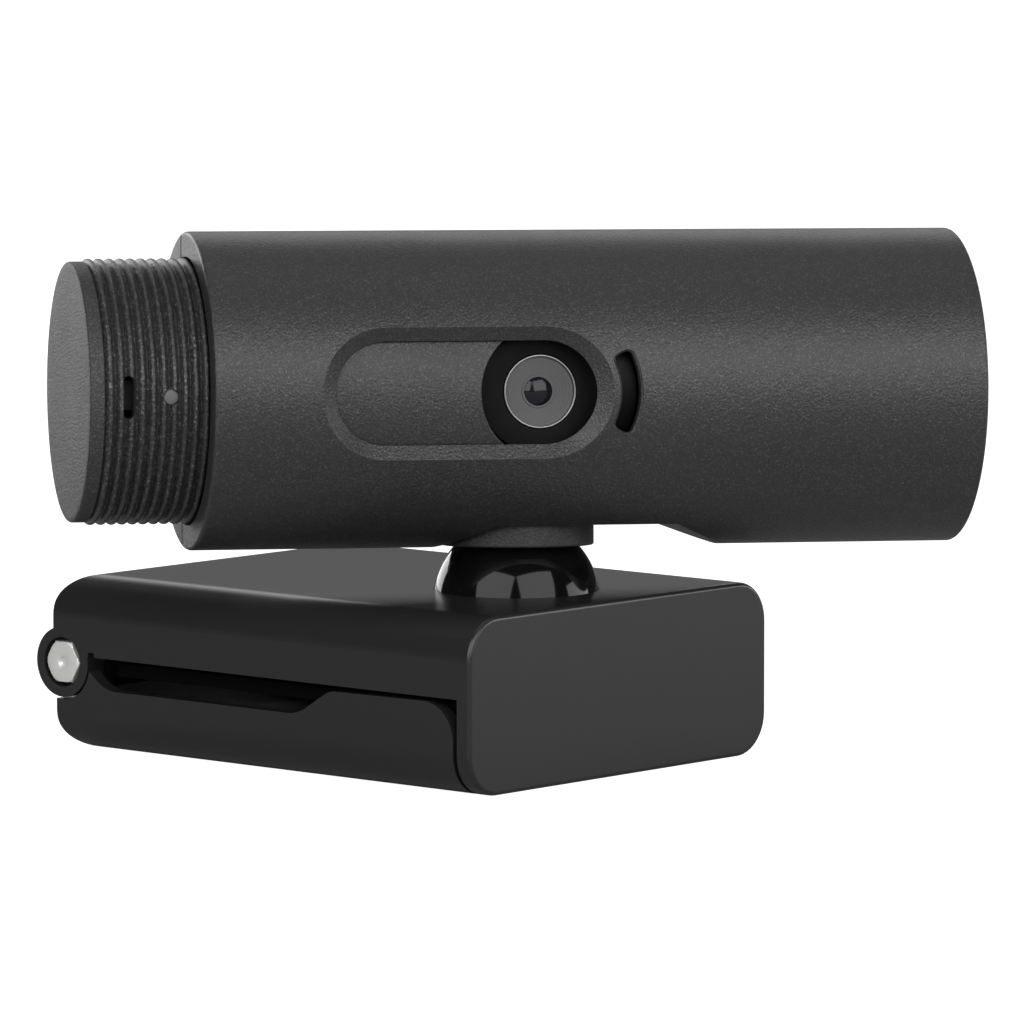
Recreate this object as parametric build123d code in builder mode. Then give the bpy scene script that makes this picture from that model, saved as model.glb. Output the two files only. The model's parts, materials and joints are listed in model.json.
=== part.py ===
from build123d import *
import math
import os

# Webcam on a folding monitor clip, in millimetres.
# The row's origin is the mouth of the tripod thread: the underside of the clip, straight below
# the ball. The clip faces -Y, its hinge pin is at the rear (+Y) and +Z is up.
# The head is modelled in a frame of its own: x along the barrel, lens looking towards -y, z up,
# origin on the barrel's axis straight above the ball. It is moved to its place at the very end.

# ---- clip: overall sizes
CLIP_WIDTH = 54.3
CLIP_HEIGHT = 21.2
CLIP_FRONT = -16.5
CLIP_REAR = 51.3
CLIP_CORNER = 5.0
REAR_CORNER = 3.8
SIDE_WALL = 1.8
TOP_PLATE = 2.4
FRONT_PLATE = 2.0
BRACKET_WALL_Z = 11.65

# ---- clip: leg
LEG_REAR = 50.75
LEG_FRONT = -13.9
LEG_FLOOR = 2.0
LEG_WALL_Z = 11.1
FINGER_NOTCH_Z = 7.75
FINGER_NOTCH = (10.9, 42.6)
NOTCH_RADII = (3.0, 5.5)
LEG_NOSE_RADIUS = 4.6
THREAD_RADIUS = 3.175
INSERT_RADIUS = 4.6
INSERT_HEIGHT = 6.5

# ---- clip: hinge
HINGE_Y = 49.8
HINGE_Z = 10.7
EAR_RADIUS = 4.3
EAR_THICKNESS = 3.0
EAR_CLEARANCE = 0.3
EAR_WEB = 5.4
BARREL_RADIUS = 4.0
BARREL_HALF = 23.7
WASHER = 0.4
PIN_RADIUS = 1.25
RUNNING_GAP = 0.05
HEX_FLATS = 4.9

# ---- ball joint
BALL_Z = 19.7
BALL_RADIUS = 10.05
BALL_NECK = 6.8
BALL_FOOT = 4.8
LINER = 0.3
SOCKET_BORE = 11.55
SOCKET_OUTER = 13.4
SOCKET_FLOOR = 11.9
COVER_TOP = 10.9
COVER_THICKNESS = 1.6
PAD = 0.6

# ---- head: place and pose above the ball
HEAD_PAN = -36.05
HEAD_LEAN = 0.68
HEAD_NOD = 3.6
AXIS_HEIGHT = 25.6

# ---- head: barrel
BODY_RADIUS = 19.0
BODY_WALL = 1.45
BODY_LEFT = -40.3
BODY_RIGHT = 53.6
RING_THICKNESS = 2.0
RING_BORE = 16.0
SEAM_Y = 2.6
SEAM_WIDTH = 0.5
SEAM_DEPTH = 0.7
SADDLE_Z = -16.1
SADDLE_LEFT = -10.8
SADDLE_RIGHT = 24.6
SADDLE_FLAT = (-4.5, 17.4)
BOSS_Z = 12.6
BOSS_X = (-17.0, 45.0)
BOSS_RADIUS = 2.2

# ---- head: lens, window and light
LENS_X = -0.25
WINDOW_LEFT = -19.5
WINDOW_HALF = 6.15
WINDOW_SLOPE = (1.4, 1.8)
EDGE_SOFTENING = 0.12
LIGHT_CHAMFER = 0.25
LIGHT_INNER = 8.9
LIGHT_OUTER = 11.2
LIGHT_HALF_ANGLE = 27.0

# ---- head: privacy slide
SLIDE_RADIUS = 17.3
SLIDE_WALL = 1.1
SLIDE_HALF_ANGLE = 35.0
SLIDE_CUTOUT = 7.81
FLANGE_LEFT = -38.2
FLANGE_RIGHT = -35.0
KNOB_FACE = -54.6
KNOB_RADIUS = 15.5
KNOB_CAP = 1.9
KNOB_NECK = 15.6
KNOB_BORE = 13.8
RIB_CREST = 15.75
RIB_DEPTH = 0.4
RIB_PITCH = 1.27
RIB_COUNT = 10

# ---- head: electronics
BOARD_FRONT = -4.2
BOARD_BACK = -3.2
CHASSIS_FRONT = 0.2
CHASSIS_BACK = 1.8
BOARD_LEFT = -20.0
BOARD_RIGHT = 48.0
USB_X = 20.0
USB_BOARD_BACK = 10.6
VENT_COUNT = 7
LIGHT_FACE = 16.7
GLASS_RADIUS = 1.7
GLASS_FRONT = 13.4
GLASS_DOME_RADIUS = 3.5
BARREL_LENS = 5.0
BEZEL_DEPTH = 14.0
BEZEL_RADIUS = 7.4

# ---- head: fasteners and small pieces
SHELL_SCREW = 1.0
SCREW_SEAT_Y = 10.4
NECK_SCREW = 2.0
COLLAR_RADIUS = 9.3
O_RING_X = -36.6
O_RING_WIRE = 0.5
SLOT_X = -49.9
PIP_X = -44.95
MARK_Z = -0.2
PIP_RADIUS = 0.9

os.makedirs("parts", exist_ok=True)

half_width = CLIP_WIDTH / 2
inner_half = half_width - SIDE_WALL
ear_inner = half_width - EAR_THICKNESS
body_length = BODY_RIGHT - BODY_LEFT
cavity_radius = BODY_RADIUS - BODY_WALL
rib_end = KNOB_FACE + KNOB_CAP + RIB_COUNT * RIB_PITCH
saddle_outline = [
    (SADDLE_LEFT, -BODY_RADIUS - 0.01),
    (SADDLE_FLAT[0], SADDLE_Z),
    (SADDLE_FLAT[1], SADDLE_Z),
    (SADDLE_RIGHT, -BODY_RADIUS - 0.01),
    (SADDLE_RIGHT, -25),
    (SADDLE_LEFT, -25),
]
board_points = [(x, z) for x in (-13.0, 41.0) for z in (-8.4, 8.4)]
chassis_posts = [(-4.0, 12.4), (34.0, 12.4), (34.0, -9.6)]


def across(x):
    """The plane that faces +X at x; its local axes are Y and Z."""
    return Plane.YZ.offset(x)


def facing_back(y):
    """A plane at y whose local axes are X and Z and whose normal is -Y."""
    return Plane.XZ.offset(-y)


def at_height(z):
    """The level plane at height z."""
    return Plane.XY.offset(z)


def side_outline(rear):
    """The clip seen from its side: a box whose two rear corners are rounded."""
    with BuildSketch(Plane.XY, mode=Mode.PRIVATE) as outline:
        with Locations((rear, CLIP_HEIGHT / 2)):
            RectangleRounded(200, CLIP_HEIGHT, REAR_CORNER, align=(Align.MAX, Align.CENTER))
    return outline.sketch


# ============================ CLIP ============================

# The leg: a tray with rounded long edges, a finger notch in each side wall and a hinge barrel.
with BuildPart() as clip_leg:
    with BuildSketch(facing_back(LEG_FRONT)):
        with Locations((0, CLIP_HEIGHT / 2)):
            RectangleRounded(CLIP_WIDTH, CLIP_HEIGHT, CLIP_CORNER)
    extrude(amount=LEG_FRONT - LEG_REAR)
    with BuildSketch(across(0)):
        add(side_outline(LEG_REAR))
    extrude(amount=half_width + 1, both=True, mode=Mode.INTERSECT)
    # what is left of the box is the side outline of the leg, from the hinge to the rounded nose
    with BuildSketch(across(0)) as side:
        with BuildLine():
            Polyline(
                (LEG_REAR, -1),
                (LEG_REAR, HINGE_Z),
                (45.7, HINGE_Z - 0.4),
                (FINGER_NOTCH[1], FINGER_NOTCH_Z),
                (FINGER_NOTCH[0], FINGER_NOTCH_Z),
                (5.7, LEG_WALL_Z - 0.15),
                (LEG_FRONT + LEG_NOSE_RADIUS, LEG_WALL_Z),
            )
            RadiusArc(
                (LEG_FRONT + LEG_NOSE_RADIUS, LEG_WALL_Z),
                (LEG_FRONT, LEG_WALL_Z - LEG_NOSE_RADIUS),
                -LEG_NOSE_RADIUS,
            )
            Polyline((LEG_FRONT, LEG_WALL_Z - LEG_NOSE_RADIUS), (LEG_FRONT, -1), (LEG_REAR, -1))
        make_face()
        notch = side.vertices().filter_by_position(Axis.X, 5, 46)
        fillet([v for v in notch if v.Y > FINGER_NOTCH_Z + 1], NOTCH_RADII[0])
        notch = side.vertices().filter_by_position(Axis.X, FINGER_NOTCH[0] - 1, FINGER_NOTCH[1] + 1)
        fillet([v for v in notch if abs(v.Y - FINGER_NOTCH_Z) < 0.01], NOTCH_RADII[1])
    extrude(amount=half_width + 1, both=True, mode=Mode.INTERSECT)
    # the tray
    with BuildSketch(facing_back(LEG_FRONT - 1)):
        with Locations((0, LEG_FLOOR + CLIP_HEIGHT / 2)):
            RectangleRounded(2 * inner_half, CLIP_HEIGHT, CLIP_CORNER - SIDE_WALL)
    extrude(amount=LEG_FRONT - 1 - (LEG_REAR - SIDE_WALL), mode=Mode.SUBTRACT)
    # the hinge barrel and the web that carries it
    with BuildSketch(across(-BARREL_HALF)):
        with Locations((HINGE_Y, HINGE_Z)):
            Circle(BARREL_RADIUS)
        with Locations((LEG_REAR, HINGE_Z)):
            Rectangle(3.0, HINGE_Z - CLIP_CORNER, align=(Align.MAX, Align.MAX))
    extrude(amount=2 * BARREL_HALF)
    with BuildSketch(across(-half_width)):
        with Locations((HINGE_Y, HINGE_Z)):
            Circle(EAR_RADIUS + EAR_CLEARANCE)
    extrude(amount=half_width - BARREL_HALF, mode=Mode.SUBTRACT)
    with BuildSketch(across(half_width)):
        with Locations((HINGE_Y, HINGE_Z)):
            Circle(EAR_RADIUS + EAR_CLEARANCE)
    extrude(amount=BARREL_HALF - half_width, mode=Mode.SUBTRACT)
    with BuildSketch(across(-half_width)):
        with Locations((HINGE_Y, HINGE_Z)):
            Circle(PIN_RADIUS + RUNNING_GAP)
    extrude(amount=CLIP_WIDTH, mode=Mode.SUBTRACT)
    # the boss of the tripod insert, straight below the ball
    with BuildSketch(at_height(LEG_FLOOR - 0.5)):
        Circle(INSERT_RADIUS + 2.2)
    extrude(amount=INSERT_HEIGHT - 0.2)
    with BuildSketch(at_height(0)):
        Circle(INSERT_RADIUS)
    extrude(amount=INSERT_HEIGHT, mode=Mode.SUBTRACT)

with BuildPart() as tripod_insert:
    with BuildSketch(at_height(0)):
        Circle(INSERT_RADIUS)
        Circle(THREAD_RADIUS, mode=Mode.SUBTRACT)
    extrude(amount=INSERT_HEIGHT)

with BuildPart() as leg_pad:
    with BuildSketch(at_height(LEG_FLOOR)):
        with Locations((0, -10.4)):
            RectangleRounded(44, 4.6, 1.2)
    extrude(amount=1.2)

with BuildPart() as hinge_washers:
    for side in (-1, 1):
        with BuildSketch(across(side * BARREL_HALF)):
            with Locations((HINGE_Y, HINGE_Z)):
                Circle(3.6)
                Circle(PIN_RADIUS + RUNNING_GAP, mode=Mode.SUBTRACT)
        extrude(amount=side * WASHER)

# The bracket: top plate, side walls with hinge ears, front plate and the ball's socket.
with BuildPart() as clip_bracket:
    with BuildSketch(facing_back(CLIP_FRONT)):
        with Locations((0, CLIP_HEIGHT / 2)):
            RectangleRounded(CLIP_WIDTH, CLIP_HEIGHT, CLIP_CORNER)
    extrude(amount=CLIP_FRONT - CLIP_REAR)
    with BuildSketch(across(0)):
        add(side_outline(CLIP_REAR))
    extrude(amount=half_width + 1, both=True, mode=Mode.INTERSECT)
    fillet(clip_bracket.faces().sort_by(Axis.Y)[0].edges(), 0.5)
    # everything below the side walls is open behind the front plate
    with BuildSketch(across(0)):
        with Locations((CLIP_FRONT + FRONT_PLATE, BRACKET_WALL_Z)):
            Rectangle(80, 20, align=(Align.MIN, Align.MAX))
        with Locations((45.45, 12.2)):
            Rectangle(1.0, 2.0, align=(Align.MAX, Align.MAX))
    extrude(amount=half_width + 1, both=True, mode=Mode.SUBTRACT)
    with BuildSketch(facing_back(CLIP_FRONT + FRONT_PLATE)):
        with Locations((0, CLIP_HEIGHT / 2 - TOP_PLATE)):
            RectangleRounded(2 * inner_half, CLIP_HEIGHT, CLIP_CORNER - SIDE_WALL)
    extrude(amount=CLIP_FRONT + FRONT_PLATE - (CLIP_REAR - SIDE_WALL), mode=Mode.SUBTRACT)
    # the rear wall ends above the leg's barrel
    with BuildSketch(across(0)):
        with Locations((HINGE_Y, HINGE_Z)):
            Circle(BARREL_RADIUS + 0.4)
    extrude(amount=BARREL_HALF + WASHER + RUNNING_GAP, both=True, mode=Mode.SUBTRACT)
    # the hinge ears
    for side in (-1, 1):
        with BuildSketch(across(side * ear_inner)):
            with Locations((HINGE_Y, HINGE_Z)):
                Circle(EAR_RADIUS)
            with Locations((HINGE_Y, HINGE_Z)):
                Rectangle(4.2, EAR_WEB, align=(Align.MAX, Align.MIN))
        extrude(amount=side * EAR_THICKNESS)
    # pockets of the bolt's head and nut, and the bolt's hole
    with BuildSketch(across(-half_width)):
        with Locations((HINGE_Y, HINGE_Z)):
            Circle(3.05)
    extrude(amount=1.6, mode=Mode.SUBTRACT)
    with BuildSketch(across(half_width)):
        with Locations((HINGE_Y, HINGE_Z)):
            Circle(3.05)
    extrude(amount=-2.1, mode=Mode.SUBTRACT)
    with BuildSketch(across(-half_width)):
        with Locations((HINGE_Y, HINGE_Z)):
            Circle(PIN_RADIUS + RUNNING_GAP)
    extrude(amount=CLIP_WIDTH, mode=Mode.SUBTRACT)
    # the socket: a boss under the plate, a wide bore for the cup and a spherical lip on top
    with BuildSketch(at_height(SOCKET_FLOOR)):
        Circle(SOCKET_OUTER)
    extrude(amount=CLIP_HEIGHT - TOP_PLATE / 2 - SOCKET_FLOOR)
    with BuildSketch(at_height(SOCKET_FLOOR)):
        Circle(SOCKET_BORE)
    extrude(amount=18.6 - SOCKET_FLOOR, mode=Mode.SUBTRACT)
    with BuildSketch(at_height(SOCKET_FLOOR)):
        Circle(BALL_RADIUS + RUNNING_GAP)
    extrude(amount=BALL_Z - SOCKET_FLOOR, mode=Mode.SUBTRACT)
    with Locations((0, 0, BALL_Z)):
        Sphere(BALL_RADIUS + RUNNING_GAP, mode=Mode.SUBTRACT)
    # posts for the cover's screws
    with BuildSketch(at_height(COVER_TOP)):
        with GridLocations(41, 47.5, 2, 2):
            with Locations((0, 14.25)):
                Circle(2.4)
    extrude(amount=CLIP_HEIGHT - TOP_PLATE / 2 - COVER_TOP)
    with BuildSketch(at_height(COVER_TOP)):
        with GridLocations(41, 47.5, 2, 2):
            with Locations((0, 14.25)):
                Circle(1.0 + RUNNING_GAP)
    extrude(amount=6.0, mode=Mode.SUBTRACT)

with BuildPart() as bracket_cover:
    with BuildSketch(at_height(COVER_TOP - COVER_THICKNESS)):
        with Locations((0, 15.3)):
            RectangleRounded(49.4, 57.4, 2.0)
    extrude(amount=COVER_THICKNESS)
    with BuildSketch(at_height(COVER_TOP - COVER_THICKNESS)):
        with GridLocations(41, 47.5, 2, 2):
            with Locations((0, 14.25)):
                Circle(2.1)
    extrude(amount=1.0, mode=Mode.SUBTRACT)
    with BuildSketch(at_height(COVER_TOP - COVER_THICKNESS)):
        with GridLocations(41, 47.5, 2, 2):
            with Locations((0, 14.25)):
                Circle(1.1)
    extrude(amount=COVER_THICKNESS, mode=Mode.SUBTRACT)

with BuildPart() as cover_screws:
    for x in (-20.5, 20.5):
        for y in (-9.5, 38.0):
            with BuildSketch(at_height(COVER_TOP - 0.6)):
                with Locations((x, y)):
                    Circle(1.9)
            extrude(amount=-0.9)
            with BuildSketch(at_height(COVER_TOP - 0.6)):
                with Locations((x, y)):
                    Circle(1.0)
            extrude(amount=5.6)

with BuildPart() as top_pad:
    with BuildSketch(at_height(COVER_TOP - COVER_THICKNESS - PAD)):
        with Locations((0, 15.3)):
            RectangleRounded(33, 54, 2.0)
    extrude(amount=PAD)

with BuildPart() as front_pad:
    with BuildSketch(facing_back(CLIP_FRONT + FRONT_PLATE)):
        with Locations((0, 6.9)):
            RectangleRounded(44, 7.6, 1.5)
    extrude(amount=-0.4)

with BuildPart() as hinge_bolt:
    with BuildSketch(across(-half_width + 1.6)):
        with Locations((HINGE_Y, HINGE_Z)):
            RegularPolygon(HEX_FLATS / 2, 6, major_radius=False)
    extrude(amount=-1.55)
    fillet(hinge_bolt.faces().sort_by(Axis.X)[0].edges(), 0.2)
    with BuildSketch(across(-half_width + 0.05)):
        with Locations((HINGE_Y, HINGE_Z)):
            Circle(0.9)
    extrude(amount=0.3, taper=40, mode=Mode.SUBTRACT)
    with BuildSketch(across(-half_width + 1.6)):
        with Locations((HINGE_Y, HINGE_Z)):
            Circle(PIN_RADIUS)
    extrude(amount=CLIP_WIDTH - 2.2)

with BuildPart() as hinge_nut:
    with BuildSketch(across(half_width - 2.1)):
        with Locations((HINGE_Y, HINGE_Z)):
            RegularPolygon(2.5, 6, major_radius=False)
            Circle(PIN_RADIUS + 0.01, mode=Mode.SUBTRACT)
    extrude(amount=2.0)

# ======================= BALL JOINT =======================


def ball_ring(inner, outer, low, high):
    """A ring between two spheres about the ball's centre, cut level at two depths below it."""
    with BuildSketch(Plane.XZ, mode=Mode.PRIVATE) as section:
        with Locations((0, BALL_Z)):
            Circle(outer)
            Circle(inner, mode=Mode.SUBTRACT)
        with Locations((0, BALL_Z - high)):
            Rectangle(outer, low - high, align=(Align.MIN, Align.MAX), mode=Mode.INTERSECT)
    return section.sketch


liner_inner = BALL_RADIUS + RUNNING_GAP
liner_outer = liner_inner + LINER
cup_inner = liner_outer + RUNNING_GAP

with BuildPart() as socket_liner:
    add(ball_ring(liner_inner, liner_outer, 5.4, 2.4))
    revolve(axis=Axis.Z)

with BuildPart() as pressure_cup:
    with BuildSketch(at_height(13.4)):
        Circle(SOCKET_BORE - RUNNING_GAP)
    extrude(amount=4.9)
    with Locations((0, 0, BALL_Z)):
        Sphere(cup_inner, mode=Mode.SUBTRACT)
    with BuildSketch(at_height(13.0)):
        Circle(8.4)
    extrude(amount=2.0, mode=Mode.SUBTRACT)

with BuildPart() as disc_spring:
    with BuildSketch(Plane.XZ):
        with BuildLine():
            Polyline((8.95, 13.04), (11.3, 12.72), (11.3, 13.04), (8.95, 13.36), close=True)
        make_face()
    revolve(axis=Axis.Z)

with BuildPart() as socket_ring:
    with BuildSketch(at_height(SOCKET_FLOOR)):
        Circle(SOCKET_BORE)
        Circle(8.9, mode=Mode.SUBTRACT)
        with PolarLocations(10.2, 2):
            Circle(0.8, mode=Mode.SUBTRACT)
    extrude(amount=0.8)

# ============================ HEAD ============================

with BuildPart() as ball:
    with Locations((0, 0, -AXIS_HEIGHT)):
        Sphere(BALL_RADIUS)
    split(bisect_by=at_height(BALL_NECK - AXIS_HEIGHT), keep=Keep.BOTTOM)
    split(bisect_by=at_height(-BALL_FOOT - AXIS_HEIGHT), keep=Keep.TOP)
    with BuildSketch(at_height(BALL_NECK - AXIS_HEIGHT)):
        Circle(NECK_SCREW + 0.02)
    extrude(amount=-10.0, mode=Mode.SUBTRACT)


def light_outline(gap):
    """The curved slot round the lens, drawn smaller by a gap all round."""
    inner, outer = LIGHT_INNER + gap, LIGHT_OUTER - gap
    half = math.radians(LIGHT_HALF_ANGLE) - gap / LIGHT_OUTER
    with BuildSketch(Plane.XY, mode=Mode.PRIVATE) as outline:
        with BuildLine():
            CenterArc((LENS_X, 0), outer, -math.degrees(half), 2 * math.degrees(half))
            CenterArc((LENS_X, 0), inner, -math.degrees(half), 2 * math.degrees(half))
            for turn in (-half, half):
                Line(
                    (LENS_X + inner * math.cos(turn), inner * math.sin(turn)),
                    (LENS_X + outer * math.cos(turn), outer * math.sin(turn)),
                )
        make_face()
        fillet(outline.vertices(), 0.7 - gap)
    return outline.sketch


# The barrel as one solid; the shells, the collar and the bosses are cut from it.
with BuildPart() as barrel:
    with BuildSketch(across(BODY_LEFT)):
        Circle(BODY_RADIUS)
    extrude(amount=body_length)
    fillet(barrel.edges().filter_by(GeomType.CIRCLE), 0.4)
    with BuildSketch(facing_back(0)):
        with BuildLine():
            Polyline(*saddle_outline, close=True)
        make_face()
    extrude(amount=BODY_RADIUS + 1, both=True, mode=Mode.SUBTRACT)

with BuildPart() as cavity:
    with BuildSketch(across(BODY_LEFT + RING_THICKNESS)):
        Circle(cavity_radius)
    extrude(amount=body_length - 2 * RING_THICKNESS)
    with BuildSketch(facing_back(0)):
        with BuildLine():
            Polyline(*saddle_outline, close=True)
        make_face()
        offset(amount=BODY_WALL, kind=Kind.INTERSECTION)
    extrude(amount=BODY_RADIUS + 1, both=True, mode=Mode.SUBTRACT)


def corners(points, radius):
    """A round of the given radius at each point of the current sketch plane."""
    with Locations(*points):
        Circle(radius)


# The barrel hollowed out, with the round mouth of each end ring; both shells are cut from it.
with BuildPart() as hollow_barrel:
    add(barrel.part)
    add(cavity.part, mode=Mode.SUBTRACT)
    with BuildSketch(across(BODY_LEFT), across(BODY_RIGHT - RING_THICKNESS)):
        Circle(RING_BORE)
    extrude(amount=RING_THICKNESS, mode=Mode.SUBTRACT)


def outer_edges(builder, start, end):
    """The edges on the barrel's front whose middle and ends lie from start to end along it."""
    return [
        edge
        for edge in builder.edges().filter_by_position(Axis.X, start - 0.01, end + 0.01)
        if edge.center().Y < -cavity_radius + 2
        and abs(edge.center().Z) < WINDOW_HALF + WINDOW_SLOPE[1] + 0.1
        and all(abs(math.hypot(v.Y, v.Z) - BODY_RADIUS) < 0.01 for v in edge.vertices())
    ]


boss_points = [(x, z) for x in BOSS_X for z in (-BOSS_Z, BOSS_Z)]

with BuildPart() as front_shell:
    add(hollow_barrel.part)
    split(bisect_by=facing_back(SEAM_Y), keep=Keep.TOP)
    # posts that take the shell screws
    with BuildSketch(facing_back(SEAM_Y)):
        corners(boss_points, BOSS_RADIUS)
    extrude(amount=14.1)
    with BuildSketch(facing_back(SEAM_Y)):
        corners(boss_points, SHELL_SCREW + RUNNING_GAP)
    extrude(amount=9.0, mode=Mode.SUBTRACT)
    # the hole of the neck screw through the saddle's floor
    with BuildSketch(at_height(SADDLE_Z - 1)):
        Circle(NECK_SCREW + 0.1)
    extrude(amount=4.0, mode=Mode.SUBTRACT)
    # the curved slot of the status light
    with BuildSketch(facing_back(-SLIDE_RADIUS)):
        add(light_outline(0.0))
    extrude(amount=5.0, both=True, mode=Mode.SUBTRACT)
    # the window, with a sloped edge all round
    with BuildSketch(facing_back(-12)):
        with Locations(((WINDOW_LEFT + LENS_X) / 2, 0)):
            SlotCenterToCenter(LENS_X - WINDOW_LEFT, 2 * WINDOW_HALF)
    extrude(amount=10.0, mode=Mode.SUBTRACT)
    window_end = LENS_X + WINDOW_HALF
    chamfer(outer_edges(front_shell, WINDOW_LEFT - WINDOW_HALF, window_end), *WINDOW_SLOPE)
    rim_end = window_end + WINDOW_SLOPE[1]
    rim_start = WINDOW_LEFT - WINDOW_HALF - WINDOW_SLOPE[1]
    fillet(outer_edges(front_shell, rim_start, rim_end), EDGE_SOFTENING)
    # the light slot has a small sloped edge
    chamfer(outer_edges(front_shell, LENS_X + LIGHT_OUTER - 1, LENS_X + LIGHT_OUTER), LIGHT_CHAMFER)

with BuildPart() as rear_bosses:
    with BuildSketch(facing_back(SEAM_Y)):
        corners(boss_points, BOSS_RADIUS + 0.9)
    extrude(amount=-15.0)
    with BuildSketch(facing_back(USB_BOARD_BACK)):
        corners([(USB_X - 6.2, 0), (USB_X + 6.2, 0)], 1.45)
    extrude(amount=USB_BOARD_BACK - BODY_RADIUS)
    with BuildSketch(facing_back(CHASSIS_BACK)):
        corners(chassis_posts, 2.0)
    extrude(amount=CHASSIS_BACK - BODY_RADIUS)
    with BuildSketch(across(BODY_LEFT)):
        Circle(cavity_radius + BODY_WALL / 2)
    extrude(amount=body_length, mode=Mode.INTERSECT)

with BuildPart() as rear_shell:
    add(hollow_barrel.part)
    split(bisect_by=facing_back(SEAM_Y), keep=Keep.BOTTOM)
    add(rear_bosses.part)
    # a fine groove in the outer faces marks the seam
    with BuildSketch(facing_back(SEAM_Y)):
        Rectangle(250, 60)
        with Locations(((BODY_LEFT + BODY_RIGHT) / 2, 0)):
            Rectangle(
                body_length - 2 * SEAM_DEPTH, 2 * (BODY_RADIUS - SEAM_DEPTH), mode=Mode.SUBTRACT
            )
    extrude(amount=-SEAM_WIDTH, mode=Mode.SUBTRACT)
    with BuildSketch(facing_back(BODY_RADIUS + 1)):
        corners(boss_points, 2.1)
    extrude(amount=BODY_RADIUS + 1 - SCREW_SEAT_Y, mode=Mode.SUBTRACT)
    with BuildSketch(facing_back(BODY_RADIUS + 1)):
        corners(boss_points, SHELL_SCREW + 0.1)
    extrude(amount=BODY_RADIUS + 1, mode=Mode.SUBTRACT)
    # the socket's mouth: a recess for the plug's grip and a slot for the plug
    with BuildSketch(facing_back(BODY_RADIUS + 1)):
        with Locations((USB_X, 0)):
            SlotOverall(13.0, 7.0)
    extrude(amount=BODY_RADIUS + 1 - 18.2, mode=Mode.SUBTRACT)
    with BuildSketch(facing_back(BODY_RADIUS + 1)):
        with Locations((USB_X, 0)):
            SlotOverall(9.2, 3.5)
    extrude(amount=5.0, mode=Mode.SUBTRACT)
    # pilot holes
    with BuildSketch(facing_back(CHASSIS_BACK)):
        corners(chassis_posts, 0.8 + RUNNING_GAP)
    extrude(amount=-6.0, mode=Mode.SUBTRACT)
    with BuildSketch(facing_back(USB_BOARD_BACK)):
        corners([(USB_X - 6.2, 0), (USB_X + 6.2, 0)], 0.8 + RUNNING_GAP)
    extrude(amount=-5.0, mode=Mode.SUBTRACT)
    # cooling slots either side of the socket
    with BuildSketch(facing_back(BODY_RADIUS + 1)):
        for row in (-8.0, 8.0):
            with Locations((USB_X, row)):
                with GridLocations(3.2, 1, VENT_COUNT, 1):
                    SlotOverall(4.6, 1.2, rotation=90)
    extrude(amount=6.0, mode=Mode.SUBTRACT)

with BuildPart() as end_cap:
    with BuildSketch(across(BODY_RIGHT - RING_THICKNESS - 1.35)):
        Circle(SLIDE_RADIUS)
    extrude(amount=1.3)
    with BuildSketch(across(BODY_RIGHT - RING_THICKNESS - 0.05)):
        Circle(RING_BORE - 0.08)
    extrude(amount=1.6)
    fillet(end_cap.faces().sort_by(Axis.X)[-1].edges(), 0.3)

with BuildPart() as shell_screws:
    with BuildSketch(facing_back(SCREW_SEAT_Y)):
        corners(boss_points, 1.9)
    extrude(amount=-1.3)
    with BuildSketch(facing_back(SCREW_SEAT_Y)):
        corners(boss_points, SHELL_SCREW)
    extrude(amount=SCREW_SEAT_Y + 5.5)

# The chassis: a plate that hooks over the front shell's posts and carries the main board.
with BuildPart() as chassis:
    with BuildSketch(facing_back(CHASSIS_FRONT)):
        with Locations(((BOARD_LEFT + BOARD_RIGHT) / 2, 0.6)):
            RectangleRounded(BOARD_RIGHT - BOARD_LEFT + 2, 30.6, 2.0)
        with Locations((8.0, -15.0)):
            Rectangle(38.0, 9.0, mode=Mode.SUBTRACT)
        with Locations(*boss_points):
            Circle(BOSS_RADIUS + 0.1, mode=Mode.SUBTRACT)
    extrude(amount=CHASSIS_FRONT - CHASSIS_BACK)
    with BuildSketch(facing_back(CHASSIS_FRONT)):
        corners(board_points, 1.9)
    extrude(amount=CHASSIS_FRONT - BOARD_BACK)
    with BuildSketch(facing_back(BOARD_BACK)):
        corners(board_points, 0.8 + RUNNING_GAP)
    extrude(amount=BOARD_BACK - CHASSIS_BACK, mode=Mode.SUBTRACT)
    with BuildSketch(facing_back(CHASSIS_FRONT)):
        corners(chassis_posts, 0.9)
    extrude(amount=CHASSIS_FRONT - CHASSIS_BACK, mode=Mode.SUBTRACT)

with BuildPart() as chassis_screws:
    with BuildSketch(facing_back(CHASSIS_FRONT)):
        corners(chassis_posts, 1.5)
    extrude(amount=0.9)
    with BuildSketch(facing_back(CHASSIS_FRONT)):
        corners(chassis_posts, 0.8)
    extrude(amount=-6.0)

with BuildPart() as main_board:
    with BuildSketch(facing_back(BOARD_BACK)):
        with Locations(((BOARD_LEFT + BOARD_RIGHT) / 2, 0)):
            RectangleRounded(BOARD_RIGHT - BOARD_LEFT, 20.4, 1.0)
        with Locations(*board_points):
            Circle(0.9, mode=Mode.SUBTRACT)
    extrude(amount=BOARD_BACK - BOARD_FRONT)

with BuildPart() as board_screws:
    with BuildSketch(facing_back(BOARD_FRONT)):
        corners(board_points, 1.45)
    extrude(amount=0.9)
    with BuildSketch(facing_back(BOARD_FRONT)):
        corners(board_points, 0.8)
    extrude(amount=-4.4)

with BuildPart() as processor:
    with BuildSketch(facing_back(BOARD_FRONT)):
        with Locations((29, 0)):
            Rectangle(11, 11)
    extrude(amount=1.2)

with BuildPart() as shield_can:
    with BuildSketch(facing_back(BOARD_FRONT)):
        with Locations((29, 0)):
            RectangleRounded(17, 15, 0.8)
    extrude(amount=2.6)
    with BuildSketch(facing_back(BOARD_FRONT)):
        with Locations((29, 0)):
            Rectangle(16.4, 14.4)
    extrude(amount=2.3, mode=Mode.SUBTRACT)

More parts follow.
